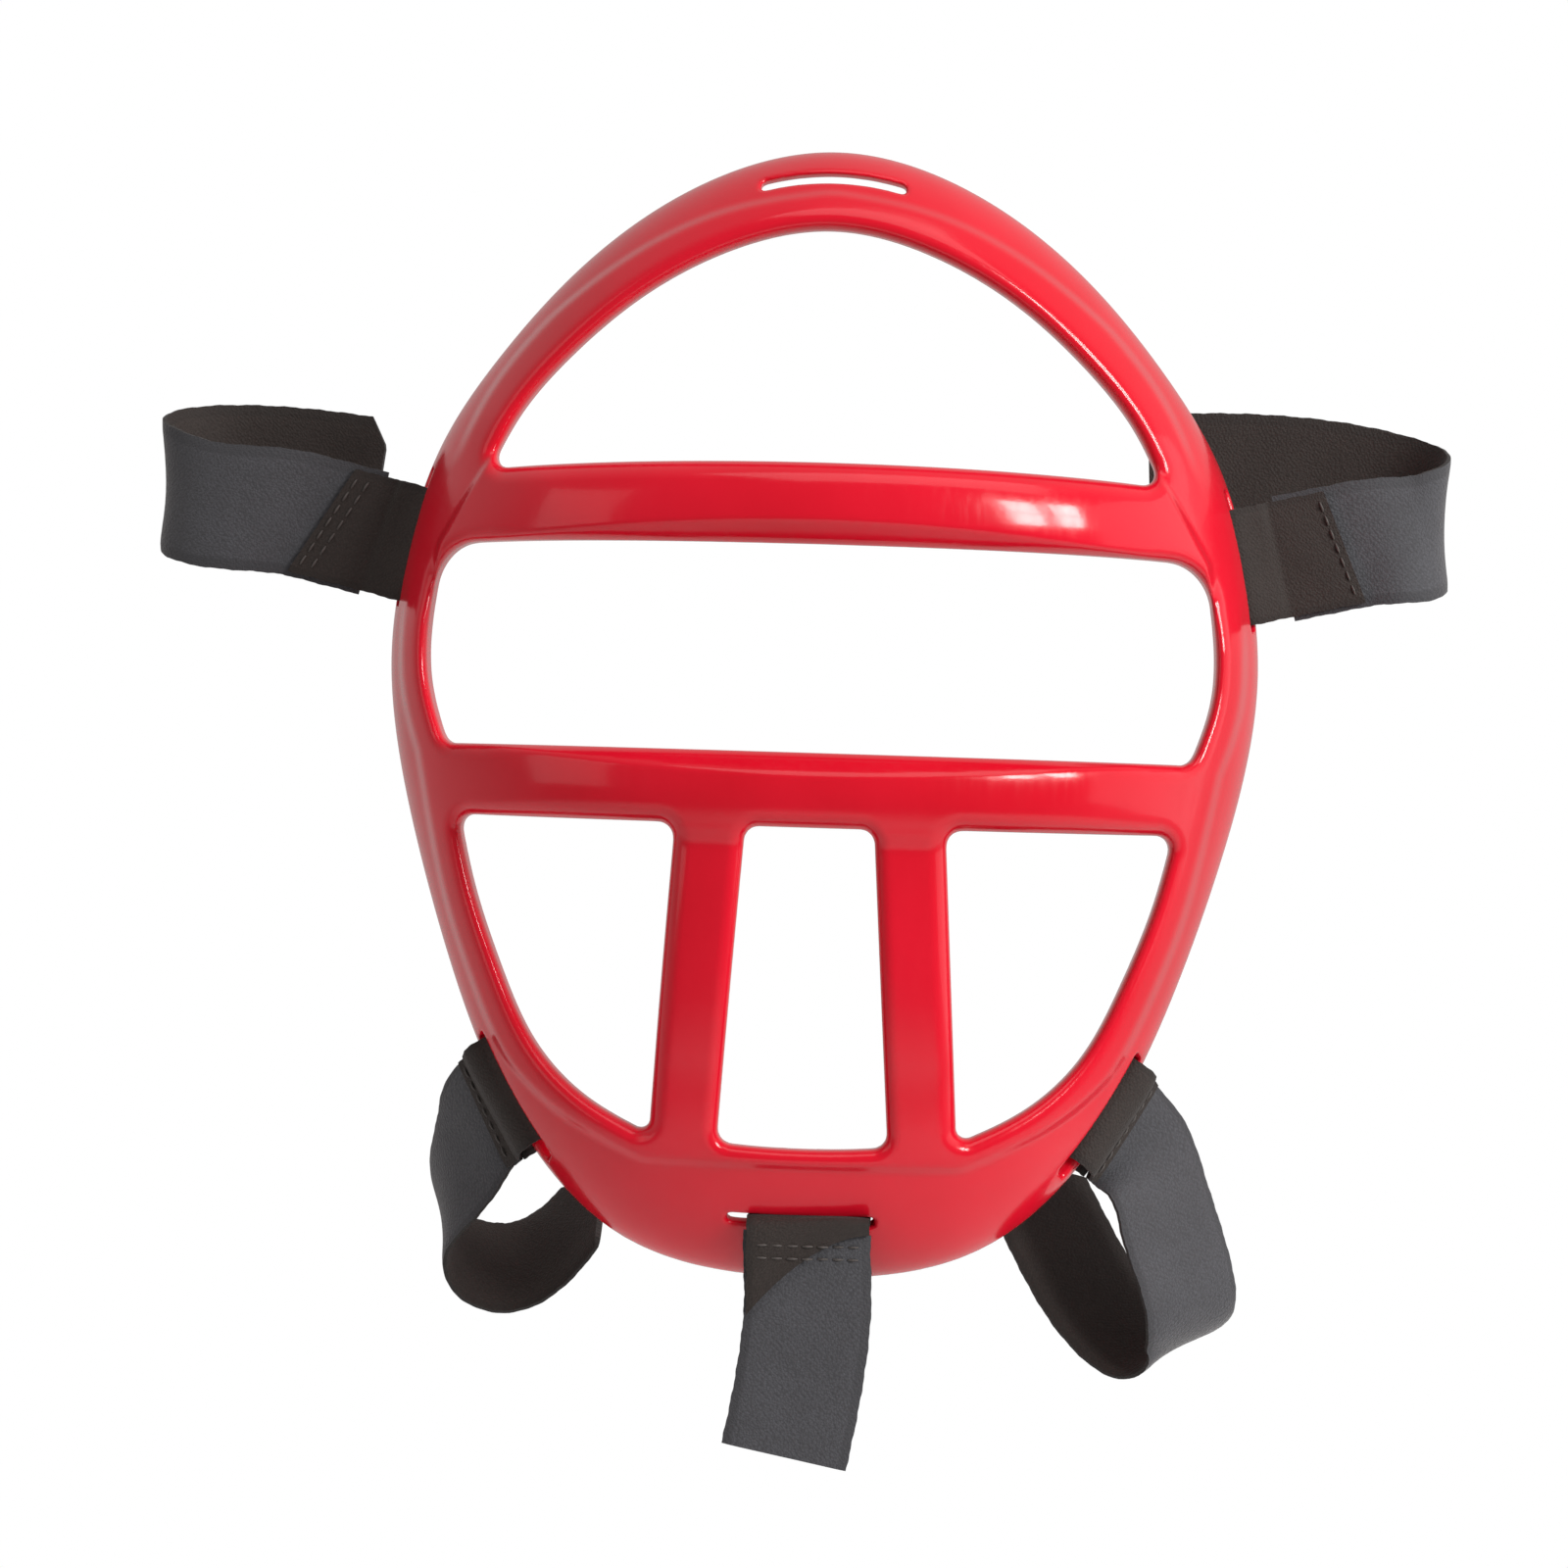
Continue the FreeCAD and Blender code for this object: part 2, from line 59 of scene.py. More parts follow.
# ------------------------------------------------------------------ guard: the openings
ARCH = [(69.8, 42.2), (63.4, 54.6), (53.2, 66.4), (39.4, 78.0), (20.5, 88.1), (0, 92.4)]
BROW_TOP = 43.2
EYE_SIDE = [(79.6, 26.8), (82.0, 12.0), (81.9, -1.0), (77.4, -14.9)]
JAW_CURVE = [(74.4, -29.6), (70.6, -45.0), (64.4, -61.0), (56.5, -76.0), (45.5, -86.4), (31.4, -93.4)]
BAR_OUTER_TOP = 27.2
MOUTH_TOP = (12.9, -29.9)
MOUTH_BOTTOM = (17.4, -94.6)
MOUTH_SAG = 0.8
ARCH_CORNER = 2.8           # corner radii seen from the front
EYE_UPPER_CORNER = 10.0
EYE_LOWER_CORNER = 3.5
LOW_CORNER = 3.0
POINT_CORNER = 2.2
ARCH_ROLL = 4.2             # how far each opening's edge is rolled over, mm
EYE_ROLL = 3.2
EYE_ROLL_MIDDLE = 1.3       # less in the middle, where a crescent facet lies beside it
JAW_ROLL = 3.8
MOUTH_ROLL = 3.0

# ------------------------------------------------------------------ guard: relief on the front
BAND_WIDTH = [(-124, 4.0), (-94, 4.2), (-80, 6.0), (-30, 5.6), (8, 5.2), (50, 7.0), (75, 8.4), (112, 6.0)]
BAND_RISE = 1.1             # how far the band round the openings stands proud of the flange
BAND_FADE = 2.6             # width of that step
PLAIN_FROM, PLAIN_TO = 16.0, 48.0   # heights between which the temples have no step
CRESCENT_HALF = 68.0        # half length of the facets above and below the eye opening
CRESCENT_DROP = 4.4         # their width in the middle
CRESCENT_SLOPE = 0.85
PILLOW = 1.3                # how much the cross bars swell at their middle line
UPRIGHT_STEP = 1.5          # how far the two upright bars lie behind the cheek bar

# Strap slots: height on the rim outline, dome level, half width, and how far they lie nearer the rim.
SLOT_HALF_LENGTH = 15.0
CROWN_BEND = 0.0085         # the crown slot is bent like the rim above it, per mm
SLOTS = {
    "temple": (29.5, 0.987, 2.4, 0.0),
    "jaw": (-91.0, 0.979, 2.4, 0.0),
    "chin": (-124.0, 0.892, 1.3, 1.1),
}
# The crown slot is given: middle, length direction, direction across it, half width.
CROWN_SLOT = ((0, -35.2, 103.7), (1, 0, 0), (0, 0.1, 0.995), 1.35)

# ------------------------------------------------------------------ straps
STRAP_WIDTH = 25.0
LOOP_TAPE = 1.7
HOOK_TAPE = 1.15
HALF_GAP = 0.95             # from a strap's middle plane to its hook tape
STITCH_LENGTH = 2.2
STITCH_PITCH = 3.1
THREAD = 0.26               # radius of the stitching thread
THREAD_SIDES = 8            # points round a stitch
THREAD_STEPS = 8            # lengths along a stitch
SIDE_STITCH_ROWS = (1.6, 4.2)       # how far each row lies from the cut end of the hook tape
CHIN_STITCH_ROWS = (0, 2.6)         # how far each row lies below the chin seam
ACROSS = 25                 # points across each face of a tape

# Side straps: radius of the wrap round the slot bar, how far the tape has slid up its slot, way out
# from the bar, where the hook tape's tails meet the loop tape, where its front tail is cut (at its
# upper and its lower edge), its rear end, rows of stitches, and the loop tape: which side its loops
# are on, its width, where it leaves the straight, and its free run as (middle, width direction).
SIDE_STRAPS = {
    "temple_left": {
        "wrap": 3.6, "slide": -1.7, "out": (-1, 0, 0), "closure": 9.0,
        "front": (16.5, 25.5), "rear": 20.0, "rows": 2, "face": -1, "loop_width": 27.0, "straight": 25.5,
        "run": [((-125.0, -3.9, 34.5), (0.14, -0.03, 0.99)), ((-135.0, -2.0, 35.4), (0.07, 0, 1)),
                ((-141.8, 2.4, 37.7), (0.02, 0, 1)), ((-144.4, 8.8, 40.6), (0, 0, 1)),
                ((-141.8, 15.6, 43.6), (0, 0, 1)), ((-134.0, 20.6, 45.3), (0, 0, 1)),
                ((-122.0, 22.8, 45.5), (0.02, 0, 1)), ((-110.0, 22.8, 44.6), (0.05, 0, 1)),
                ((-100.0, 22.0, 43.4), (0.06, 0, 1))]},
    "temple_right": {
        "wrap": 3.6, "slide": -1.5, "out": (1, 0, 0), "closure": 9.0,
        "front": (20.5, 25.0), "rear": 20.0, "rows": 1, "face": 1, "loop_width": 27.0, "straight": 25.5,
        "run": [((121.0, -3.2, 34.7), (-0.12, 0, 0.99)), ((128.0, 0.0, 35.8), (-0.05, 0, 1)),
                ((131.8, 6.0, 38.9), (0, 0, 1)), ((130.4, 13.0, 42.3), (0, 0, 1)),
                ((124.0, 18.6, 45.4), (0, 0, 1)), ((113.0, 21.8, 48.1), (0, 0, 1)),
                ((100.0, 23.6, 49.6), (0, 0, 1)), ((86.0, 24.8, 50.0), (0, 0, 1)),
                ((70.0, 25.8, 49.4), (0, 0, 1))]},
    "jaw_right": {
        "wrap": 4.1, "slide": 1.9, "out": (0.5, 0.75, -0.45), "closure": 6.2,
        "front": (8.0, 8.0), "rear": 7.4, "rows": 1, "face": 1, "loop_width": 25.0, "straight": 9.4,
        "run": [((72.6, -9.5, -99.6), (0.62, 0.50, 0.60)), ((76.8, -9.0, -110.4), (0.74, 0.55, 0.40)),
                ((80.6, -8.0, -121.2), (0.77, 0.57, 0.30)), ((82.9, -5.5, -131.4), (0.77, 0.57, 0.28)),
                ((81.4, -1.0, -137.8), (0.77, 0.54, 0.33)), ((75.2, 3.0, -139.8), (0.77, 0.53, 0.34)),
                ((67.7, 6.0, -135.6), (0.77, 0.54, 0.34)), ((56.6, 8.0, -120.4), (0.77, 0.52, 0.36)),
                ((49.0, 9.0, -106.3), (0.76, 0.54, 0.36))]},
    "jaw_left": {
        "wrap": 4.1, "slide": 1.9, "out": (-0.58, 0.6, -0.52), "closure": 6.2,
        "front": (8.0, 10.0), "rear": 7.4, "rows": 1, "face": -1, "loop_width": 25.0, "straight": 10.4,
        "run": [((-71.6, -7.4, -99.8), (-0.46, 0.34, 0.82)), ((-76.0, -3.0, -109.4), (-0.34, 0.58, 0.74)),
                ((-78.0, 0.5, -118.2), (-0.20, 0.71, 0.67)), ((-74.0, 4.0, -125.5), (-0.15, 0.74, 0.66)),
                ((-65.0, 6.0, -128.2), (-0.15, 0.73, 0.67)), ((-55.2, 5.8, -123.2), (-0.17, 0.73, 0.66)),
                ((-47.0, 4.4, -113.4), (-0.19, 0.75, 0.64))]},
}

# Chin strap: a wrap of hook tape round the chin plate, given as (y, z), the hanging loop tape and the
# slant-cut flap over its top, both given as (middle, width direction).
CHIN_X = 1.8
CHIN_WRAP = [(-39.8, -109.2), (-41.4, -110.6), (-41.7, -112.9), (-41.0, -114.8), (-37.9, -118.5),
             (-34.2, -121.8), (-29.9, -124.2), (-27.2, -124.8), (-25.4, -123.6), (-24.9, -121.3),
             (-26.9, -119.5), (-30.1, -118.2), (-33.6, -115.4), (-36.6, -112.0), (-38.3, -109.8)]
CHIN_RUN = [((1.6, -44.7, -112.6), (1, 0, 0)), ((1.6, -44.8, -116.0), (1, 0, 0)),
            ((1.9, -44.8, -121.0), (1, 0, 0)),
            ((2.1, -44.9, -129.5), (1, 0, -0.04)), ((1.4, -45.0, -138.5), (1, 0, -0.10)),
            ((0.0, -45.0, -148.5), (1, 0, -0.15)), ((-1.8, -45.0, -158.4), (1, 0, -0.18))]
CHIN_LOOP_WIDTH = 26.0
CHIN_FLAP = [((1.7, -43.7, -109.7), (1, 0, 0)), ((1.7, -45.6, -110.9), (1, 0, 0)),
             ((1.7, -46.3, -113.4), (1, 0, 0)), ((1.9, -46.4, -121.0), (1, 0, 0)),
             ((2.1, -46.5, -129.4), (1, 0, -0.02))]
FLAP_SHORT = 4.4            # length of the flap at its short right edge
FLAP_CURVE = 1.8            # how hollow its slanted cut is
CHIN_SEAM_Z = -115.2

# ------------------------------------------------------------------ camera, lights, floor
CAMERA_AT = (23.92, -850.0, -21.3)
CAMERA_YAW = 2.128          # degrees, to the left
CAMERA_ROLL = 1.792         # degrees
FIELD = 0.39702             # width of the view over its distance
FLOOR_Z = -330.0
FLOOR_RADIUS = 0.68         # metres


# ------------------------------------------------------------------ curves and distances
def spline_through(points, count, closed=False):
    """Samples of the cubic spline through the points. Its pace is set by their first three numbers."""
    knots = np.array(points, float)
    if closed:
        knots = np.vstack([knots, knots[:1]])
    gaps = np.linalg.norm(np.diff(knots[:, :3], axis=0), axis=1)
    at = np.concatenate([[0.0], np.cumsum(gaps)])
    size = len(knots)
    matrix = np.zeros((size, size))
    right = np.zeros_like(knots)
    slopes = np.diff(knots, axis=0) / gaps[:, None]
    for i in range(1, size - 1):
        matrix[i, i - 1:i + 2] = gaps[i - 1], 2 * (gaps[i - 1] + gaps[i]), gaps[i]
        right[i] = 6 * (slopes[i] - slopes[i - 1])
    matrix[0, 0] = 1
    matrix[-1, -1] = 1
    if closed:
        matrix[0, -1] = -1
        matrix[-1, [0, 1, -2, -1]] = 2 * gaps[0], gaps[0], gaps[-1], 2 * gaps[-1]
        right[-1] = 6 * (slopes[0] - slopes[-1])
    bend = np.linalg.solve(matrix, right)
    here = np.linspace(0, at[-1], count, endpoint=not closed)
    i = np.clip(np.searchsorted(at, here, side="right") - 1, 0, size - 2)
    gap = gaps[i][:, None]
    after = ((here - at[i])[:, None]) / gap
    before = 1 - after
    cubic = ((before ** 3 - before) * bend[i] + (after ** 3 - after) * bend[i + 1]) * gap ** 2 / 6
    return before * knots[i] + after * knots[i + 1] + cubic


def straight(a, b):
    """Close-spaced points from a to b."""
    share = np.linspace(0, 1, max(2, int(math.dist(a, b) / 0.25)))[:, None]
    return np.array(a) * (1 - share) + np.array(b) * share


def flat_curve(points):
    """Close-spaced points of the spline through (x, z) points."""
    length = np.linalg.norm(np.diff(np.array(points, float), axis=0), axis=1).sum()
    return spline_through(points, int(length / 0.25))


def inward_offset(side, distance):
    """Points moved sideways, to the left of the way they run."""
    way = np.gradient(side, axis=0)
    way /= np.linalg.norm(way, axis=1)[:, None]
    return side + np.column_stack([-way[:, 1], way[:, 0]]) * distance


def rounded_loop(sides, radii):
    """Closed outline of sides that run anticlockwise, with an arc of its radius after each side."""
    starts = [0] * len(sides)
    ends = [len(side) for side in sides]
    arcs = []
    for i, radius in enumerate(radii):
        j = (i + 1) % len(sides)
        half = len(sides[i]) // 2
        one = inward_offset(sides[i], radius)
        two = inward_offset(sides[j], radius)
        apart = np.linalg.norm(one[half:, None] - two[None, :len(two) // 2], axis=2)
        p, q = np.unravel_index(np.argmin(apart), apart.shape)
        p += half
        middle = (one[p] + two[q]) / 2
        ends[i] = p
        starts[j] = q
        first = math.atan2(*(sides[i][p] - middle)[::-1])
        last = math.atan2(*(sides[j][q] - middle)[::-1])
        if last < first:
            last += 2 * math.pi
        angles = np.linspace(first, last, 12)
        arcs.append(middle + radius * np.column_stack([np.cos(angles), np.sin(angles)]))
    chain = []
    for side, start, end, arc in zip(sides, starts, ends, arcs):
        chain += [side[start:end:4], arc]
    return np.vstack(chain)


def signed_distance(x, z, loop):
    """Distance of each grid point from a closed outline, negative inside it."""
    nearest = np.full(x.shape, 1e9)
    inside = np.zeros(x.shape, bool)
    for (ax, az), (bx, bz) in zip(loop, np.roll(loop, -1, axis=0)):
        wide, high = bx - ax, bz - az
        square = wide * wide + high * high
        if square < 1e-9:
            continue
        share = np.clip(((x - ax) * wide + (z - az) * high) / square, 0, 1)
        nearest = np.minimum(nearest, (x - ax - share * wide) ** 2 + (z - az - share * high) ** 2)
        if high:
            inside ^= ((az > z) != (bz > z)) & (x < ax + wide * (z - az) / high)
    return np.where(inside, -1, 1) * np.sqrt(nearest)


def step_up(value, start, end):
    """0 before start, 1 after end, smooth in between."""
    share = np.clip((value - start) / (end - start), 0, 1)
    return share * share * (3 - 2 * share)


def round_cut(a, b, radius):
    """Distance field of what is inside both a and b, with the edge between them rounded."""
    over_a = np.maximum(a + radius, 0)
    over_b = np.maximum(b + radius, 0)
    return np.minimum(np.maximum(a, b), -radius) + np.hypot(over_a, over_b)


# ------------------------------------------------------------------ guard
def opening_loops():
    """Anticlockwise outlines (x, z) of the five openings."""
    arch_left = [(-x, z) for x, z in ARCH]
    arch_top = flat_curve(ARCH + arch_left[-2::-1])
    shares = (-1, -0.5, 0, 0.5, 1)
    end_x, end_z = ARCH[0]
    rise = [(end_x * s, end_z + (BROW_TOP - end_z) * (1 - s * s)) for s in shares]
    eye_right = flat_curve(EYE_SIDE[::-1])
    eye_left = eye_right[::-1] * [-1, 1]
    jaw = flat_curve(JAW_CURVE[::-1])
    low_z = MOUTH_BOTTOM[1]
    sag = [(MOUTH_BOTTOM[0] * s, low_z - MOUTH_SAG * (1 - s * s)) for s in shares]
    bar_top = (BAR_OUTER_TOP, JAW_CURVE[0][1])
    mouth_low_left = (-MOUTH_BOTTOM[0], low_z)
    mouth_top_left = (-MOUTH_TOP[0], MOUTH_TOP[1])
    right_jaw = rounded_loop([jaw, straight(JAW_CURVE[0], bar_top), straight(bar_top, JAW_CURVE[-1])],
                             [LOW_CORNER, LOW_CORNER, POINT_CORNER])
    return {
        "arch": rounded_loop([arch_top, flat_curve(rise)], [ARCH_CORNER] * 2),
        "eye": rounded_loop([eye_right, straight(EYE_SIDE[0], (-EYE_SIDE[0][0], EYE_SIDE[0][1])), eye_left,
                             straight((-EYE_SIDE[-1][0], EYE_SIDE[-1][1]), EYE_SIDE[-1])],
                            [EYE_UPPER_CORNER] * 2 + [EYE_LOWER_CORNER] * 2),
        "jaw_right": right_jaw,
        "jaw_left": right_jaw[::-1] * [-1, 1],
        "mouth": rounded_loop([flat_curve(sag), straight(MOUTH_BOTTOM, MOUTH_TOP),
                               straight(MOUTH_TOP, mouth_top_left),
                               straight(mouth_top_left, mouth_low_left)],
                              [LOW_CORNER] * 4),
    }


def ring_round_openings():
    """One outline round all five openings and the bars between them."""
    right = np.vstack([flat_curve(JAW_CURVE[::-1]), flat_curve(EYE_SIDE[::-1]), flat_curve(ARCH)])[::4]
    return np.vstack([right, right[::-1] * [-1, 1]])


def relief(x, z, openings, reach):
    """How far the front surface lies below the plain dome, over the front view."""
    band = np.interp(z, *zip(*BAND_WIDTH))
    plain = step_up(z, PLAIN_FROM - 8, PLAIN_FROM + 6) * (1 - step_up(z, PLAIN_TO - 8, PLAIN_TO + 6))
    raised = 1 - plain * step_up(reach, 0, 1)
    drop = -BAND_RISE * raised * (1 - step_up(reach, band, band + BAND_FADE))
    width = CRESCENT_DROP * np.clip(1 - (x / CRESCENT_HALF) ** 2, 0, 1)
    ramp = np.maximum(width - openings["eye"], 0) * CRESCENT_SLOPE
    drop += ramp * (np.abs(x) < CRESCENT_HALF)
    for low, high in ((EYE_SIDE[0][1], BROW_TOP), (JAW_CURVE[0][1], EYE_SIDE[-1][1])):
        middle, half = (low + high) / 2, (high - low) / 2
        swell = np.clip(1 - ((z - middle) / half) ** 2, 0, 1)
        drop -= PILLOW * swell * (1 - step_up(np.abs(x), 52, 76))
    behind = step_up(-z, -MOUTH_TOP[1] - 0.6, -MOUTH_TOP[1] + 4.5) * (1 - step_up(-z, 78, 98))
    drop += UPRIGHT_STEP * behind * (1 - step_up(np.abs(x), 30, 42))
    return drop


def slot_field(x, y, z, slot, side, bend=0.0):
    """Distance field of one strap slot at a slice of the grid, negative inside the slot."""
    middle, along, rimward, half_width = slot
    dx, dy, dz = x * side - middle[0], y - middle[1], z - middle[2]
    u = dx * along[0] + dy * along[1] + dz * along[2]
    v = dx * rimward[0] + dy * rimward[1] + dz * rimward[2]
    v = v + bend * (u * u - SLOT_HALF_LENGTH ** 2 / 3)
    corner = 1.0
    over_u = np.abs(u) - SLOT_HALF_LENGTH + corner
    over_v = np.abs(v) - half_width + corner
    outside = np.hypot(np.maximum(over_u, 0), np.maximum(over_v, 0))
    return outside + np.minimum(np.maximum(over_u, over_v), 0) - corner


def whole_outline():
    """Both halves of the rim outline (x, z), once round, starting at the crown."""
    right = np.array(OUTLINE, float)
    return np.vstack([right, right[-2:0:-1] * [-1, 1]])


def dome_point(x, z, level):
    """Point of the plain dome that a rim point moves to at this level (1 rim, 0 centre)."""
    rim_y = -RIM_SWEEP * (z - CENTRE_Z) ** 2
    rise = (1 - level ** DOME_A) ** DOME_B
    return np.array([x * level, rim_y + (BULGE - rim_y) * rise, CENTRE_Z + (z - CENTRE_Z) * level])


def slot_frame(height, level, half_width, nearer_rim):
    """Middle of a slot in mid wall, its length direction, the direction across it, its half width."""
    rim = spline_through(whole_outline(), 4000, closed=True)
    right = rim[:2001][::-1]
    x = np.interp(height, right[:, 1], right[:, 0])
    middle = dome_point(x, height, level)
    ring = spline_through([dome_point(*knot, level) for knot in whole_outline()], 4000, closed=True)
    nearest = np.argmin(np.linalg.norm(ring - middle, axis=1))
    along = ring[nearest - 1] - ring[nearest + 1]
    along *= (1 if x > 1 else -1) / np.linalg.norm(along)
    normal = np.cross(along, dome_point(x, height, level + 0.004) - dome_point(x, height, level - 0.004))
    normal *= math.copysign(1, -normal[1]) / np.linalg.norm(normal)
    rimward = np.cross(normal, along)
    rimward *= math.copysign(1, rimward[1])
    return middle - normal * WALL / 2 + rimward * nearer_rim, along, rimward, half_width


def dome_levels(x, z):
    """Share of the way from the dome's middle to its rim, and the rim's depth on that bearing."""
    rim = spline_through(whole_outline(), 4000, closed=True)
    bearing = np.arctan2(rim[:, 1] - CENTRE_Z, rim[:, 0])
    order = np.argsort(bearing)
    length = np.hypot(rim[:, 0], rim[:, 1] - CENTRE_Z)
    here = np.arctan2(z - CENTRE_Z, x)
    to_rim = np.interp(here, bearing[order], length[order], period=2 * math.pi)
    level = np.hypot(x, z - CENTRE_Z) / to_rim
    rim_y = -RIM_SWEEP * (to_rim * np.sin(here)) ** 2
    return level, rim_y


def guard_field():
    """Distance field of the whole guard on a grid, and the grid's lowest corner, in mm."""
    low = np.array([-96.0, -70.0, -127.0])
    high = np.array([96.0, 3.0, 115.0])
    counts = ((high - low) / VOXEL).astype(int)
    xs, ys, zs = (low[i] + VOXEL * np.arange(counts[i]) for i in range(3))
    x, z = np.meshgrid(xs, zs, indexing="ij")
    level, rim_y = dome_levels(x, z)
    openings = {name: signed_distance(x, z, loop) for name, loop in opening_loops().items()}
    reach = signed_distance(x, z, ring_round_openings())
    drop = relief(x, z, openings, reach)
    nearest = np.minimum.reduce(list(openings.values()))
    near_middle = 1 - step_up(level, *THICK_LEVELS)
    near_opening = 1 - step_up(nearest, *THICK_REACH)
    wall = WALL + (BAR_WALL - WALL) * np.maximum(near_middle, near_opening)
    eye_roll = EYE_ROLL - (EYE_ROLL - EYE_ROLL_MIDDLE) * np.clip(1 - (x / CRESCENT_HALF) ** 2, 0, 1) ** 0.5
    rolls = {"arch": ARCH_ROLL, "eye": eye_roll, "jaw_right": JAW_ROLL, "jaw_left": JAW_ROLL,
             "mouth": MOUTH_ROLL}

    slots = {name: slot_frame(*spec) for name, spec in SLOTS.items()}
    field = np.empty((counts[0], counts[1], counts[2]), np.float32)
    for k, y in enumerate(ys):
        deep = np.clip((y - rim_y) / (BULGE - rim_y), 0, None)
        shape = deep ** (1 / DOME_B) + level ** DOME_A
        slope_x, slope_z = np.gradient(shape, VOXEL)
        slope_y = deep ** (1 / DOME_B - 1) / DOME_B / (BULGE - rim_y)
        top = (shape - 1) / np.sqrt(slope_x ** 2 + slope_y ** 2 + slope_z ** 2 + 1e-8)
        body = top + drop
        for name, distance in openings.items():
            body = round_cut(body, -distance, rolls[name])
        body = round_cut(body, -top - wall, BACK_ROUND)
        body = round_cut(body, y + RIM_SWEEP * (z - CENTRE_Z) ** 2, RIM_ROUND)
        for name in ("temple", "jaw"):
            for side in (-1, 1):
                body = round_cut(body, -slot_field(x, y, z, slots[name], side), SLOT_ROUND)
        body = round_cut(body, -slot_field(x, y, z, slots["chin"], 1), SLOT_ROUND)
        body = round_cut(body, -slot_field(x, y, z, CROWN_SLOT, 1, CROWN_BEND), SLOT_ROUND)
        field[:, k, :] = body
    return field, low


def surface_normals(field, low, points):
    """Unit normals of the field at points, from its slope between grid values."""
    at = (points - low) / VOXEL
    base = np.clip(np.floor(at).astype(int), 1, np.array(field.shape) - 3)
    part = at - base
    normals = np.zeros_like(points)
    for corner in np.ndindex(2, 2, 2):
        weight = np.prod(np.where(corner, part, 1 - part), axis=1)
        i, j, k = (base + corner).T
        slope = np.column_stack([field[i + 1, j, k] - field[i - 1, j, k],
                                 field[i, j + 1, k] - field[i, j - 1, k],
                                 field[i, j, k + 1] - field[i, j, k - 1]])
        normals += weight[:, None] * slope
    return normals / np.linalg.norm(normals, axis=1)[:, None]


def make_guard():
    """The moulded guard, taken from its distance field."""
    field, low = guard_field()
    grid = openvdb.FloatGrid(background=3.0)
    grid.copyFromArray(np.clip(field, -3, 3))
    points, quads = grid.convertToQuads(0.0)
    points = low + np.array(points, float) * VOXEL
    normals = surface_normals(field, low, points)
    mesh = bpy.data.meshes.new("guard_shell")
    mesh.from_pydata((points * MM).tolist(), [], np.array(quads).tolist())
    mesh.polygons.foreach_set("use_smooth", np.ones(len(mesh.polygons), bool))
    mesh.normals_split_custom_set_from_vertices(normals.tolist())
    mesh.update()
    guard = bpy.data.objects.new("guard_shell", mesh)
    bpy.context.scene.collection.objects.link(guard)
    mesh.materials.append(plastic_material())
    return guard


# ------------------------------------------------------------------ tapes
def tape_points(middles, widths, thickness, face, cut, breadth, spread):
    """Points round the tape at each station, their places on the flat tape, and its length in mm."""
    way = np.gradient(middles, axis=0)
    way /= np.linalg.norm(way, axis=1)[:, None]
    widths = widths - way * (widths * way).sum(1)[:, None]
    widths /= np.linalg.norm(widths, axis=1)[:, None]
    up = np.cross(way, widths) * face
    run = np.concatenate([[0], np.cumsum(np.linalg.norm(np.diff(middles, axis=0), axis=1))])
    across = np.linspace(-1, 1, ACROSS)
    half = breadth / 2
    thick = thickness / 2 * (0.5 + 0.5 * (1 - np.abs(across) ** 10))
    points, places = [], []
    for i, middle in enumerate(middles):
        edge = 0.07 * math.sin(run[i] * 0.9) + 0.05 * math.sin(run[i] * 2.3 + 1)
        for side in (1, -1):
            for j in range(ACROSS)[::side]:
                ripple = 0.10 * math.sin(run[i] * 0.35 + across[j] * 2.2) * (1 - abs(across[j]) ** 4)
                point = middle + widths[i] * across[j] * (half + edge * abs(across[j]) ** 6)
                point = point + up[i] * (side * thick[j] + ripple)
                if cut is not None:
                    point = point + way[i] * cut(across[j]) * (run[i] / run[-1]) ** spread
                points.append(point * MM)
                places.append((run[i] * MM, across[j] * half * MM))
    return points, places, run[-1]


def tape_faces(stations, face):
    """Faces round and at both ends of a tape, and for each its kind: 0 face, 1 back, 2 cut edge."""
    ring = 2 * ACROSS
    faces, kinds = [], []
    for i in range(stations - 1):
        for j in range(ring):
            a, b = i * ring + j, i * ring + (j + 1) % ring
            faces.append((a, b, b + ring, a + ring) if face > 0 else (b, a, a + ring, b + ring))
            on_back = ACROSS <= j < ring - 1
            kinds.append(0 if j < ACROSS - 1 else 1 if on_back else 2)
    for i, turn in ((0, 1), (stations - 1, -1)):
        for j in range(ACROSS - 1):
            a, b, c, d = (i * ring + k for k in (j, j + 1, ring - 2 - j, ring - 1 - j))
            faces.append((a, d, c, b) if turn * face > 0 else (a, b, c, d))
            kinds.append(2)
    return faces, kinds


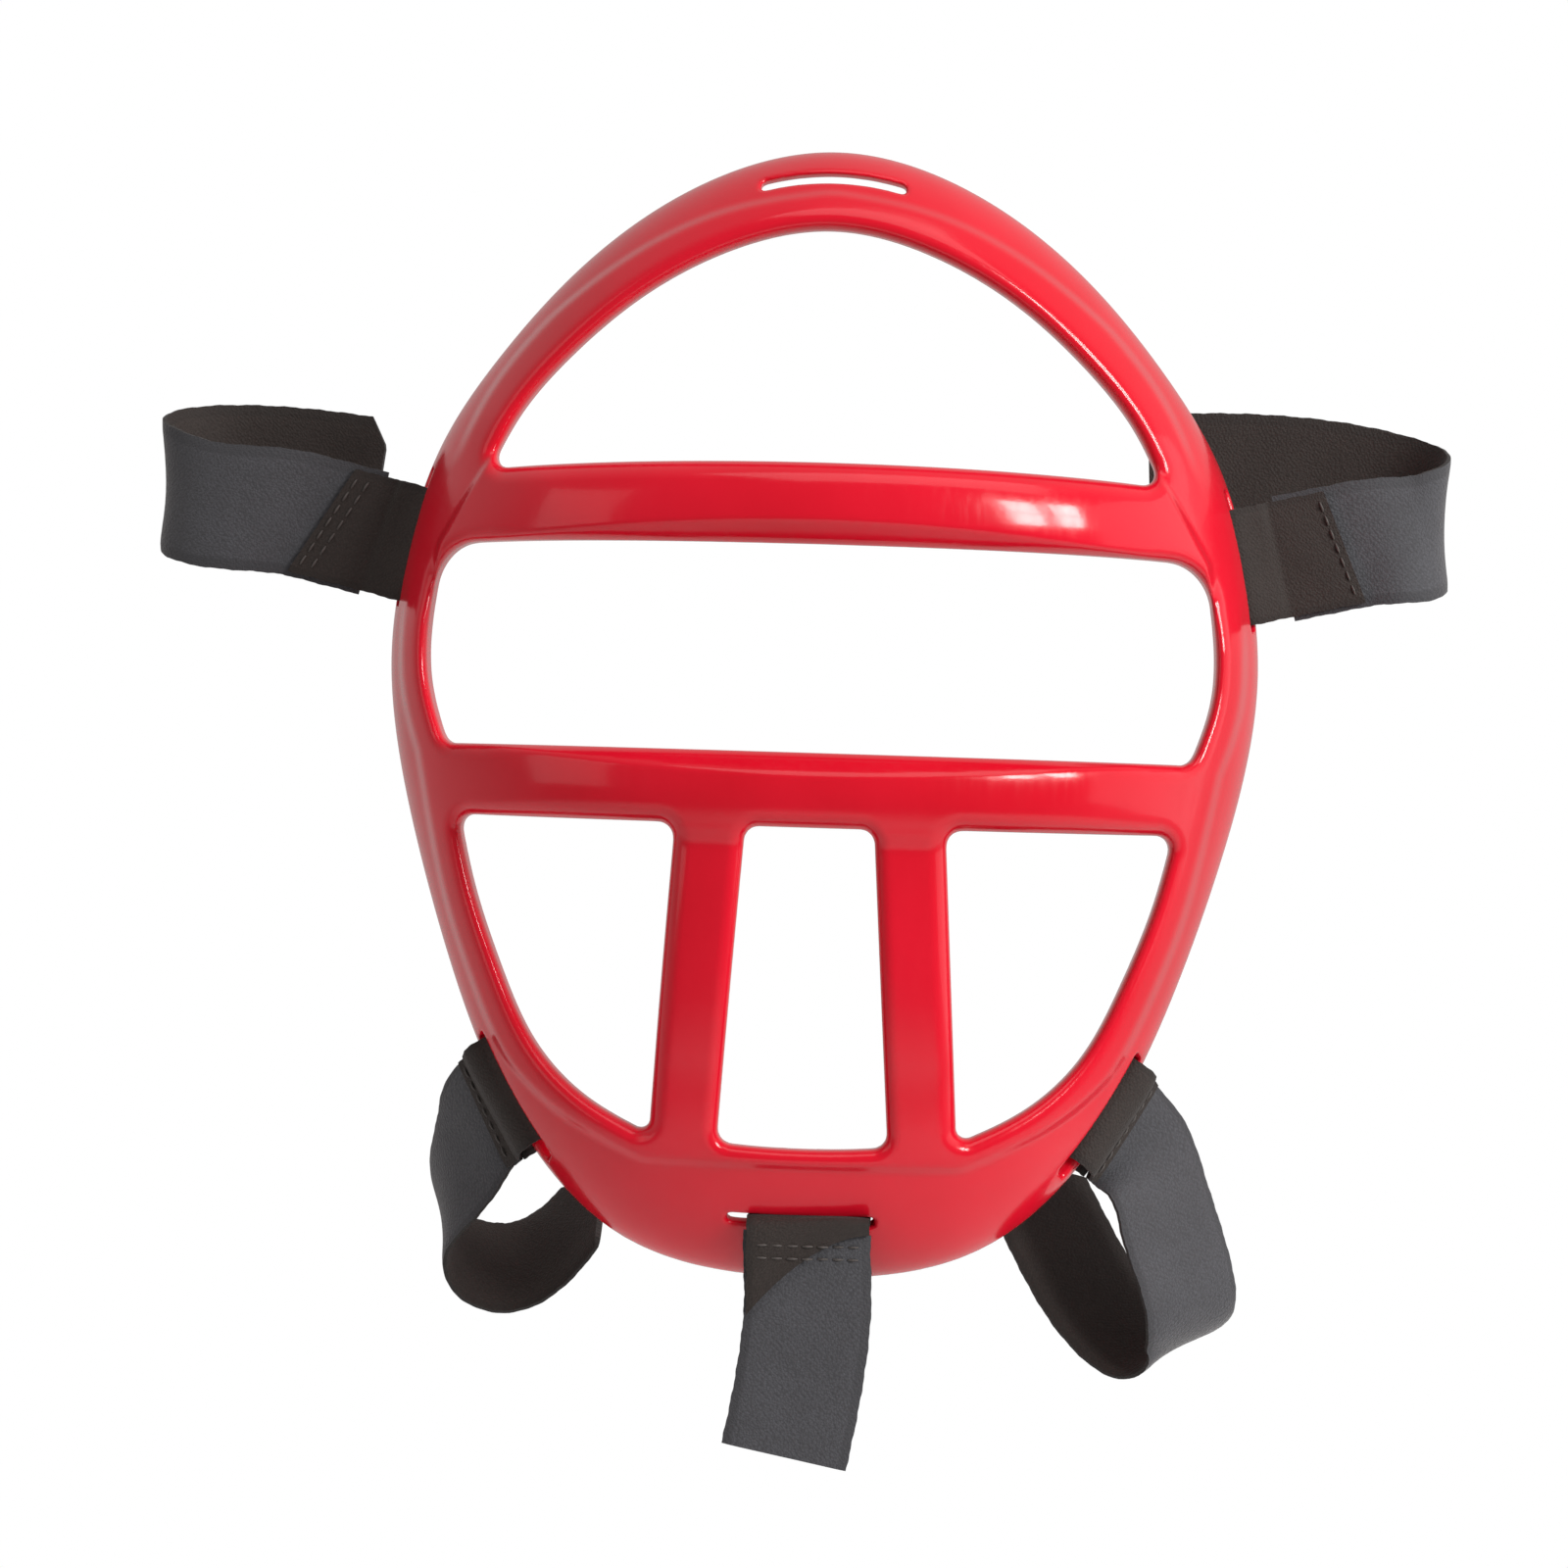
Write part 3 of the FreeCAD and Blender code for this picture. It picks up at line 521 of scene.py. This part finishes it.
def tape_mesh(name, middles, widths, thickness, face, materials, cut=None, breadth=STRAP_WIDTH, spread=4):
    """A woven tape along its middle line. `face` says which side gets the first material.

    `cut` gives, for each share across the width from -1 to 1, how far the last end is moved along;
    `spread` is 1 where the whole length is drawn out evenly and more where only the end is."""
    middles = np.array(middles, float)
    widths = np.array(widths, float)
    points, places, length = tape_points(middles, widths, thickness, face, cut, breadth, spread)
    faces, kinds = tape_faces(len(middles), face)
    mesh = bpy.data.meshes.new(name)
    mesh.from_pydata(points, [], faces)
    layer = mesh.uv_layers.new(name="tape")
    corner = np.empty(len(mesh.loops), int)
    mesh.loops.foreach_get("vertex_index", corner)
    layer.data.foreach_set("uv", np.array(places)[corner].ravel())
    for material in materials:
        mesh.materials.append(material)
    mesh.polygons.foreach_set("material_index", kinds)
    mesh.polygons.foreach_set("use_smooth", np.ones(len(faces), bool))
    mesh.set_sharp_from_angle(angle=math.radians(50))
    mesh.update()
    tape = bpy.data.objects.new(name, mesh)
    bpy.context.scene.collection.objects.link(tape)
    return tape, length


def strap_frame(name):
    """Middle of a strap on its slot bar and the ways along, out and across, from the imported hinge."""
    joint = next(j for j in frame["joints"] if j["child"] == name.replace("_", "_strap_"))
    along = np.array(joint["axis"], float)
    along *= math.copysign(1, along[2]) / np.linalg.norm(along)
    middle = np.array(joint["pos_m"]) / MM + along * SIDE_STRAPS[name]["slide"]
    out = np.array(SIDE_STRAPS[name]["out"], float)
    out -= along * (out @ along)
    out /= np.linalg.norm(out)
    across = np.cross(along, out)
    across *= math.copysign(1, across[1])
    return middle, along, out, across


def hook_path(spec):
    """Middle line of a hook tape from its rear end, round the slot bar, to its front end (out, across)."""
    radius = spec["wrap"] + HOOK_TAPE / 2
    away = HALF_GAP + HOOK_TAPE / 2
    closure = spec["closure"]
    angle = math.atan2(away, closure) + math.acos(radius / math.hypot(closure, away))
    path = [(u, away) for u in np.linspace(spec["rear"], closure, 14)[:-1]]
    near = (radius * math.cos(angle), radius * math.sin(angle))
    path += [(closure + (near[0] - closure) * s, away + (near[1] - away) * s) for s in (0, 0.25, 0.5, 0.75)]
    turns = np.linspace(angle, 2 * math.pi - angle, 22)
    path += [(radius * math.cos(t), radius * math.sin(t)) for t in turns]
    path += [(u, -v) for u, v in path[16:12:-1]]
    path += [(u, -away) for u in np.linspace(closure, max(spec["front"]), 16)[1:]]
    return path


def hook_tape(name):
    """Tape through the slot and round the slot bar, both ends lying on the loop tape."""
    spec = SIDE_STRAPS[name]
    middle, along, out, across = strap_frame(name)
    smooth = spline_through([(u, v, 0) for u, v in hook_path(spec)], 110)
    middles = [middle + out * u + across * v for u, v, _ in smooth]
    upper, lower = (length - max(spec["front"]) for length in spec["front"])

    def slant(share):
        return lower + (upper - lower) * (share + 1) / 2

    face = 1 if np.cross(out, along) @ across > 0 else -1
    piece = name.replace("_", "_strap_") + "_hook"
    return tape_mesh(piece, middles, [along] * len(middles), HOOK_TAPE, face,
                     [hook_side, plain_side, tape_edge], slant)


def loop_tape(name):
    """Free part of a side strap, from the closure through its fold to its cut end."""
    spec = SIDE_STRAPS[name]
    middle, along, out, _ = strap_frame(name)
    start = spec["closure"] + 0.6
    length = spec["straight"] - start
    steps = max(1, round(length / 2))
    stations = [(*(middle + out * (start + length * i / steps)), *along) for i in range(steps + 1)]
    stations += [(*centre, *width) for centre, width in spec["run"]]
    smooth = spline_through(stations, 120)

    def chamfer(share):
        return -4.0 * max(0.0, abs(share) - 0.55) / 0.45

    piece = name.replace("_", "_strap_") + "_loop"
    return tape_mesh(piece, smooth[:, :3], smooth[:, 3:], LOOP_TAPE, spec["face"],
                     [loop_side, plain_side, tape_edge], chamfer, spec["loop_width"])


def stitch_points(start, end, normal):
    """Rings of points along one short bowed stitch from start to end."""
    way = end - start
    side = np.cross(way / np.linalg.norm(way), normal)
    points = []
    for step in range(THREAD_STEPS + 1):
        share = step / THREAD_STEPS
        lift = 0.9 * THREAD * math.sin(math.pi * share) + 0.05
        size = THREAD * (0.55 + 0.45 * math.sin(math.pi * share))
        centre = start + way * share + normal * lift
        for corner in range(THREAD_SIDES):
            turn = 2 * math.pi * corner / THREAD_SIDES
            points.append((centre + side * size * math.cos(turn) + normal * size * math.sin(turn)) * MM)
    return points


def stitch_faces(base):
    """Faces of one stitch whose first point has this number."""
    faces = []
    for step in range(THREAD_STEPS):
        first = base + step * THREAD_SIDES
        for corner in range(THREAD_SIDES):
            i, j = first + corner, first + (corner + 1) % THREAD_SIDES
            faces.append((i, j, j + THREAD_SIDES, i + THREAD_SIDES))
    last = base + THREAD_STEPS * THREAD_SIDES
    faces.append(tuple(base + corner for corner in range(THREAD_SIDES))[::-1])
    faces.append(tuple(last + corner for corner in range(THREAD_SIDES)))
    return faces


def thread_run(ends, name, normal):
    """Separate stitches, one between each pair of ends."""
    normal = np.array(normal, float)
    points, faces = [], []
    for start, end in ends:
        faces += stitch_faces(len(points))
        points += stitch_points(np.array(start, float), np.array(end, float), normal)
    mesh = bpy.data.meshes.new(name)
    mesh.from_pydata(points, [], faces)
    mesh.polygons.foreach_set("use_smooth", np.ones(len(faces), bool))
    mesh.materials.append(thread)
    mesh.update()
    stitches = bpy.data.objects.new(name, mesh)
    bpy.context.scene.collection.objects.link(stitches)
    return stitches


def side_stitches(name):
    """Rows of stitches near the cut end of a side strap's hook tape."""
    spec = SIDE_STRAPS[name]
    middle, along, out, across = strap_frame(name)
    surface = middle - across * (HALF_GAP + HOOK_TAPE)
    pairs = []
    count = int((STRAP_WIDTH - 3) / STITCH_PITCH)
    for row in SIDE_STITCH_ROWS[:spec["rows"]]:
        for i in range(count):
            ends = []
            for tip in (-0.5, 0.5):
                along_width = (i - (count - 1) / 2) * STITCH_PITCH + tip * STITCH_LENGTH
                share = along_width / (STRAP_WIDTH / 2)
                reach = spec["front"][1] + (spec["front"][0] - spec["front"][1]) * (share + 1) / 2 - row
                ends.append(surface + along * along_width + out * reach)
            pairs.append(ends)
    return thread_run(pairs, name.replace("_", "_strap_") + "_stitches", -across)


def chin_hook():
    """Hook tape wrapped round the chin plate through the chin slot."""
    loop = spline_through([(0, y, z) for y, z in CHIN_WRAP], 90, closed=True)
    way = np.roll(loop, -1, axis=0) - np.roll(loop, 1, axis=0)
    way /= np.linalg.norm(way, axis=1)[:, None]
    away = np.cross(way, (1, 0, 0))
    middles = loop + away * (0.12 + HOOK_TAPE / 2) + (CHIN_X, 0, 0)
    middles = np.vstack([middles, middles[:1]])
    return tape_mesh("chin_strap_hook", middles, [(1, 0, 0)] * len(middles), HOOK_TAPE, 1,
                     [hook_side, plain_side, tape_edge])


def chin_loop():
    """Loop tape hanging from the chin wrap."""
    smooth = spline_through([(*centre, *width) for centre, width in CHIN_RUN], 70)
    return tape_mesh("chin_strap_loop", smooth[:, :3], smooth[:, 3:], LOOP_TAPE, 1,
                     [loop_side, plain_side, tape_edge], breadth=CHIN_LOOP_WIDTH)


def flap_length(share, whole):
    """Length of the chin flap at a share of its width, from -1 at the left to 1 at the right."""
    return FLAP_SHORT + (whole - FLAP_SHORT) * ((1 - share) / 2) ** FLAP_CURVE


def chin_flap():
    """Slant-cut end of the chin's hook tape, sewn down over the top of the hanging tape."""
    smooth = spline_through([(*centre, *width) for centre, width in CHIN_FLAP], 60)
    whole = np.linalg.norm(np.diff(smooth[:, :3], axis=0), axis=1).sum()

    def shorten(share):
        return flap_length(share, whole) - whole

    flap, _ = tape_mesh("chin_strap_flap", smooth[:, :3], smooth[:, 3:], HOOK_TAPE, 1,
                        [plain_side, hook_side, tape_edge], shorten, spread=1)
    return flap, np.mean([flap_length(share, whole) for share in np.linspace(-1, 1, 101)])


def chin_stitches():
    """Two rows of stitches through the top of the hanging tape and the flap over it."""
    pairs = []
    count = int((STRAP_WIDTH - 3) / STITCH_PITCH)
    top_z, bottom_z = CHIN_FLAP[0][0][2], CHIN_FLAP[-1][0][2]
    for row in CHIN_STITCH_ROWS:
        z = CHIN_SEAM_Z - row
        for i in range(count):
            shift = (i - (count - 1) / 2) * STITCH_PITCH
            reach = flap_length(shift * 2 / STRAP_WIDTH, top_z - bottom_z)
            over_flap = top_z - reach < z - 0.5
            y = CHIN_FLAP[2][0][1] - HOOK_TAPE / 2 if over_flap else CHIN_RUN[1][0][1] - LOOP_TAPE / 2
            pairs.append([(CHIN_X + shift + tip * STITCH_LENGTH, y, z) for tip in (-0.5, 0.5)])
    return thread_run(pairs, "chin_strap_stitches", (0, -1, 0))


# ------------------------------------------------------------------ materials
def new_material(name):
    """Empty node material with its shader and a helper that adds and links nodes."""
    material = bpy.data.materials.new(name)
    material.use_nodes = True
    tree = material.node_tree
    shader = tree.nodes["Principled BSDF"]

    def add(kind, inputs=None, **settings):
        node = tree.nodes.new(kind)
        for key, value in settings.items():
            setattr(node, key, value)
        for key, value in (inputs or {}).items():
            if isinstance(value, bpy.types.NodeSocket):
                tree.links.new(value, node.inputs[key])
            else:
                node.inputs[key].default_value = value
        return node

    def link(source, target):
        tree.links.new(source, target)

    return material, shader, add, link


def plastic_material():
    """Glossy moulded plastic: deep red with faint flow marks, fine scratches and orange peel."""
    material, shader, add, link = new_material("guard_plastic")
    place = add("ShaderNodeTexCoord").outputs["Object"]
    cloud = add("ShaderNodeTexNoise", {"Vector": place, "Scale": 22.0, "Detail": 3.0, "Roughness": 0.5})
    tint = add("ShaderNodeValToRGB", {"Fac": cloud.outputs["Fac"]})
    tint.color_ramp.elements[0].position = 0.3
    tint.color_ramp.elements[0].color = (0.66, 0.003, 0.017, 1)
    tint.color_ramp.elements[1].position = 0.75
    tint.color_ramp.elements[1].color = (0.78, 0.006, 0.027, 1)
    link(tint.outputs["Color"], shader.inputs["Base Color"])
    drawn_out = add("ShaderNodeMapping", {"Vector": place, "Scale": (900, 900, 60)}).outputs["Vector"]
    scratch = add("ShaderNodeTexNoise", {"Vector": drawn_out, "Scale": 1.0, "Detail": 4.0})
    gloss = add("ShaderNodeMapRange", {"Value": scratch.outputs["Fac"], "From Min": 0.45, "From Max": 0.8,
                                       "To Min": 0.16, "To Max": 0.27})
    link(gloss.outputs["Result"], shader.inputs["Roughness"])
    peel = add("ShaderNodeTexNoise", {"Vector": place, "Scale": 420.0, "Detail": 1.0})
    bump = add("ShaderNodeBump", {"Height": peel.outputs["Fac"], "Strength": 0.05, "Distance": 0.0002})
    link(bump.outputs["Normal"], shader.inputs["Normal"])
    shader.inputs["IOR"].default_value = 1.43
    shader.inputs["Coat Weight"].default_value = 0.15
    shader.inputs["Coat Roughness"].default_value = 0.05
    return material


def fabric_material(name, dark, light, pile, weave, sheen):
    """Tape fabric, its colour darkened in the hollows of its pile and weave as painted shade. `pile` is the
    size of its tufts and `weave` the pitch of its ribs, both in metres.
    """
    material, shader, add, link = new_material(name)
    place = add("ShaderNodeUVMap", uv_map="tape").outputs["UV"]
    split = add("ShaderNodeSeparateXYZ", {"Vector": place})
    tufts = add("ShaderNodeTexVoronoi", {"Vector": place, "Scale": 1 / pile}, feature="F1")
    fuzz = add("ShaderNodeTexNoise", {"Vector": place, "Scale": 0.6 / pile, "Detail": 5.0, "Roughness": 0.7})
    ribs = add("ShaderNodeMath", {0: split.outputs["X"], 1: 2 * math.pi / weave}, operation="MULTIPLY")
    rib_wave = add("ShaderNodeMath", {0: ribs.outputs[0]}, operation="SINE")
    row_turn = 2 * math.pi / (weave * 1.3)
    rows = add("ShaderNodeMath", {0: split.outputs["Y"], 1: row_turn}, operation="MULTIPLY")
    row_wave = add("ShaderNodeMath", {0: rows.outputs[0]}, operation="SINE")
    cloth = add("ShaderNodeMath", {0: rib_wave.outputs[0], 1: row_wave.outputs[0]}, operation="MULTIPLY")
    height = add("ShaderNodeMath", {0: tufts.outputs["Distance"], 1: -1.2, 2: fuzz.outputs["Fac"]},
                 operation="MULTIPLY_ADD")
    height = add("ShaderNodeMath", {0: cloth.outputs[0], 1: 0.18, 2: height.outputs[0]},
                 operation="MULTIPLY_ADD")
    edge = add("ShaderNodeMath", {0: split.outputs["Y"]}, operation="ABSOLUTE")
    selvage = add("ShaderNodeMapRange", {"Value": edge.outputs[0], "From Min": 0.0109, "From Max": 0.0114})
    patches = add("ShaderNodeTexNoise", {"Vector": place, "Scale": 90.0, "Detail": 2.0})
    # Painted shade: the colour follows the pile's height, darker in the hollows between tufts and ribs and
    # lighter on their tops; the noise patches add random tone.
    hollow_shade_and_patches = add("ShaderNodeMath", {0: height.outputs[0], 1: 0.55, 2: 0.15}, operation="MULTIPLY_ADD")
    hollow_shade_and_patches = add("ShaderNodeMath", {0: patches.outputs["Fac"], 1: 0.5, 2: hollow_shade_and_patches.outputs[0]},
                 operation="MULTIPLY_ADD")
    colour = add("ShaderNodeValToRGB", {"Fac": hollow_shade_and_patches.outputs[0]})
    colour.color_ramp.elements[0].position = 0.15
    colour.color_ramp.elements[0].color = (*dark, 1)
    colour.color_ramp.elements[1].position = 0.75
    colour.color_ramp.elements[1].color = (*light, 1)
    border = add("ShaderNodeMix", {0: selvage.outputs["Result"]}, data_type="RGBA")
    link(colour.outputs["Color"], border.inputs["A"])
    border.inputs["B"].default_value = (*[0.6 * a + 0.2 * b for a, b in zip(dark, light)], 1)
    link(border.outputs["Result"], shader.inputs["Base Color"])
    bump = add("ShaderNodeBump", {"Height": height.outputs[0], "Strength": 0.34, "Distance": 0.0004})
    link(bump.outputs["Normal"], shader.inputs["Normal"])
    shader.inputs["Roughness"].default_value = 0.78
    shader.inputs["Sheen Weight"].default_value = sheen
    shader.inputs["Sheen Roughness"].default_value = 0.45
    return material


def thread_material():
    """Twisted polyester thread, a little lighter than the tape."""
    material, shader, add, link = new_material("thread")
    place = add("ShaderNodeTexCoord").outputs["Object"]
    twist = add("ShaderNodeTexNoise", {"Vector": place, "Scale": 2500.0, "Detail": 2.0})
    colour = add("ShaderNodeValToRGB", {"Fac": twist.outputs["Fac"]})
    colour.color_ramp.elements[0].color = (0.03, 0.026, 0.024, 1)
    colour.color_ramp.elements[1].color = (0.11, 0.095, 0.09, 1)
    link(colour.outputs["Color"], shader.inputs["Base Color"])
    shader.inputs["Roughness"].default_value = 0.6
    return material


# ------------------------------------------------------------------ camera, lights, floor
def make_camera():
    """Camera at the angle the mask is seen from."""
    camera = bpy.data.cameras.new("camera")
    camera.sensor_width = 36.0
    camera.lens = 36.0 / FIELD
    camera.clip_start = 0.01
    camera.clip_end = 50.0
    seat = bpy.data.objects.new("camera", camera)
    bpy.context.scene.collection.objects.link(seat)
    yaw = math.radians(CAMERA_YAW)
    roll = math.radians(CAMERA_ROLL)
    ahead = Vector((-math.sin(yaw), math.cos(yaw), 0))
    right = Vector((math.cos(roll) * math.cos(yaw), math.cos(roll) * math.sin(yaw), math.sin(roll)))
    up = right.cross(ahead).normalized()
    turn = Matrix((right, up, -ahead)).transposed().to_4x4()
    seat.matrix_world = Matrix.Translation(Vector(CAMERA_AT) * MM) @ turn
    bpy.context.scene.camera = seat


def area_light(name, place, target, size, power, colour=(1, 1, 1)):
    """Rectangular soft light aimed at a point, in metres."""
    light = bpy.data.lights.new(name, "AREA")
    light.shape = "RECTANGLE"
    light.size, light.size_y = size
    light.energy = power
    light.color = colour
    lamp = bpy.data.objects.new(name, light)
    lamp.location = place
    lamp.rotation_euler = (Vector(target) - Vector(place)).to_track_quat("-Z", "Y").to_euler()
    bpy.context.scene.collection.objects.link(lamp)


def make_lights():
    """Daylight from a window at upper right, a soft ceiling, and a pale room that is dimmer in front."""
    for column in (0, 1):
        for row in (0, 1):
            place = (1.05 + 0.26 * column, -1.15 + 0.26 * column, 0.42 + 0.34 * row)
            area_light(f"window_{column}{row}", place, (0, 0, 0), (0.24, 0.30), 6.0, (1.0, 0.98, 0.95))
    area_light("ceiling", (0.3, -0.7, 1.5), (0, 0, 0), (1.6, 1.2), 8.2)
    area_light("left_fill", (-1.5, -0.9, 0.3), (0, 0, 0), (0.9, 1.4), 3.0, (1.0, 0.95, 0.90))
    area_light("right_wall", (1.4, 0.0, 0.2), (0, 0, 0), (1.2, 1.2), 3.0)
    world = bpy.data.worlds.new("room")
    bpy.context.scene.world = world
    world.use_nodes = True
    nodes, links = world.node_tree.nodes, world.node_tree.links
    way = nodes.new("ShaderNodeSeparateXYZ")
    links.new(nodes.new("ShaderNodeTexCoord").outputs["Generated"], way.inputs[0])
    depth = nodes.new("ShaderNodeMapRange")
    depth.interpolation_type = "SMOOTHSTEP"
    for socket, value in (("From Min", -0.75), ("From Max", 0.35), ("To Min", 0.0), ("To Max", 1.0)):
        depth.inputs[socket].default_value = value
    links.new(way.outputs["Y"], depth.inputs["Value"])
    walls = nodes.new("ShaderNodeMix")
    walls.data_type = "RGBA"
    walls.inputs["A"].default_value = (0.20, 0.19, 0.18, 1)
    walls.inputs["B"].default_value = (0.50, 0.47, 0.46, 1)
    links.new(depth.outputs["Result"], walls.inputs["Factor"])
    background = nodes["Background"]
    links.new(walls.outputs["Result"], background.inputs["Color"])
    shown = nodes.new("ShaderNodeBackground")
    shown.inputs["Color"].default_value = (1.0, 1.0, 1.0, 1)
    ray = nodes.new("ShaderNodeLightPath")
    mix = nodes.new("ShaderNodeMixShader")
    links.new(ray.outputs["Is Camera Ray"], mix.inputs[0])
    links.new(background.outputs[0], mix.inputs[1])
    links.new(shown.outputs[0], mix.inputs[2])
    links.new(mix.outputs[0], nodes["World Output"].inputs["Surface"])


def make_floor():
    """Pale round floor below the hanging mask, fading out before the camera's view reaches it."""
    mesh = bpy.data.meshes.new("floor")
    turns = [2 * math.pi * i / 64 for i in range(64)]
    rim = [(FLOOR_RADIUS * math.cos(t), FLOOR_RADIUS * math.sin(t), FLOOR_Z * MM) for t in turns]
    mesh.from_pydata(rim, [], [tuple(range(64))])
    floor = bpy.data.objects.new("floor", mesh)
    bpy.context.scene.collection.objects.link(floor)
    material, shader, add, link = new_material("floor_paint")
    shader.inputs["Base Color"].default_value = (0.86, 0.86, 0.86, 1)
    shader.inputs["Roughness"].default_value = 0.9
    place = add("ShaderNodeTexCoord").outputs["Object"]
    flat = add("ShaderNodeVectorMath", {0: place, 1: (1, 1, 0)}, operation="MULTIPLY")
    radius = add("ShaderNodeVectorMath", {0: flat.outputs["Vector"]}, operation="LENGTH")
    fade = add("ShaderNodeMapRange", {"Value": radius.outputs["Value"], "From Min": 0.35,
                                      "From Max": FLOOR_RADIUS - 0.02}, interpolation_type="SMOOTHSTEP")
    clear = add("ShaderNodeBsdfTransparent")
    mix = add("ShaderNodeMixShader", {0: fade.outputs["Result"]})
    link(shader.outputs[0], mix.inputs[1])
    link(clear.outputs[0], mix.inputs[2])
    link(mix.outputs[0], material.node_tree.nodes["Material Output"].inputs["Surface"])
    mesh.materials.append(material)


# ------------------------------------------------------------------ assembly
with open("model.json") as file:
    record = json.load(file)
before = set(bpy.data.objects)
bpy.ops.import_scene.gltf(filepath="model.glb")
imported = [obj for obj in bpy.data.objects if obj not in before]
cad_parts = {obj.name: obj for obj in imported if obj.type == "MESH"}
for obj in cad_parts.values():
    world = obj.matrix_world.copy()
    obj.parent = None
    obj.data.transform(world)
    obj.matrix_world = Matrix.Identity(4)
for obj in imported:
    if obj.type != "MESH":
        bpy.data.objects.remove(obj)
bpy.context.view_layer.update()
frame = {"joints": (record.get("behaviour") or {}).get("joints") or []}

loop_side = fabric_material("loop_side", (0.046, 0.046, 0.053), (0.070, 0.071, 0.083),
                            pile=0.0005, weave=0.0012, sheen=0.25)
hook_side = fabric_material("hook_side", (0.015, 0.0105, 0.0095), (0.048, 0.038, 0.036),
                            pile=0.0008, weave=0.0016, sheen=0.04)
plain_side = fabric_material("plain_side", (0.021, 0.0145, 0.0125), (0.033, 0.024, 0.021),
                             pile=0.0005, weave=0.0009, sheen=0.06)
tape_edge = fabric_material("tape_edge", (0.014, 0.012, 0.011), (0.050, 0.045, 0.044),
                            pile=0.0004, weave=0.0007, sheen=0.06)
thread = thread_material()

guard = make_guard()
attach(guard, "mask")
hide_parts("mask_frame")

for strap in SIDE_STRAPS:
    body = strap.replace("_", "_strap_")
    hook, hook_length = hook_tape(strap)
    loop, loop_length = loop_tape(strap)
    stitches = side_stitches(strap)
    for piece, node, slot in ((hook, "hook_tape", "hook_tape"), (loop, "loop_tape", "loop_tape"),
                              (stitches, "stitching", "thread")):
        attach(piece, body)
        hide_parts(f"{body}_{node}")

hook, hook_length = chin_hook()
loop, loop_length = chin_loop()
flap, flap_mean_length = chin_flap()
stitches = chin_stitches()
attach(hook, "mask")
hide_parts("chin_strap_hook_tape")
for piece, node, slot in ((loop, "loop_tape", "loop_tape"), (flap, "loop_tape", "hook_tape"),
                          (stitches, "stitching", "thread")):
    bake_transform(piece)
    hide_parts("chin_strap_" + node)

make_floor()
make_lights()
make_camera()
bpy.context.scene.view_settings.view_transform = "Standard"
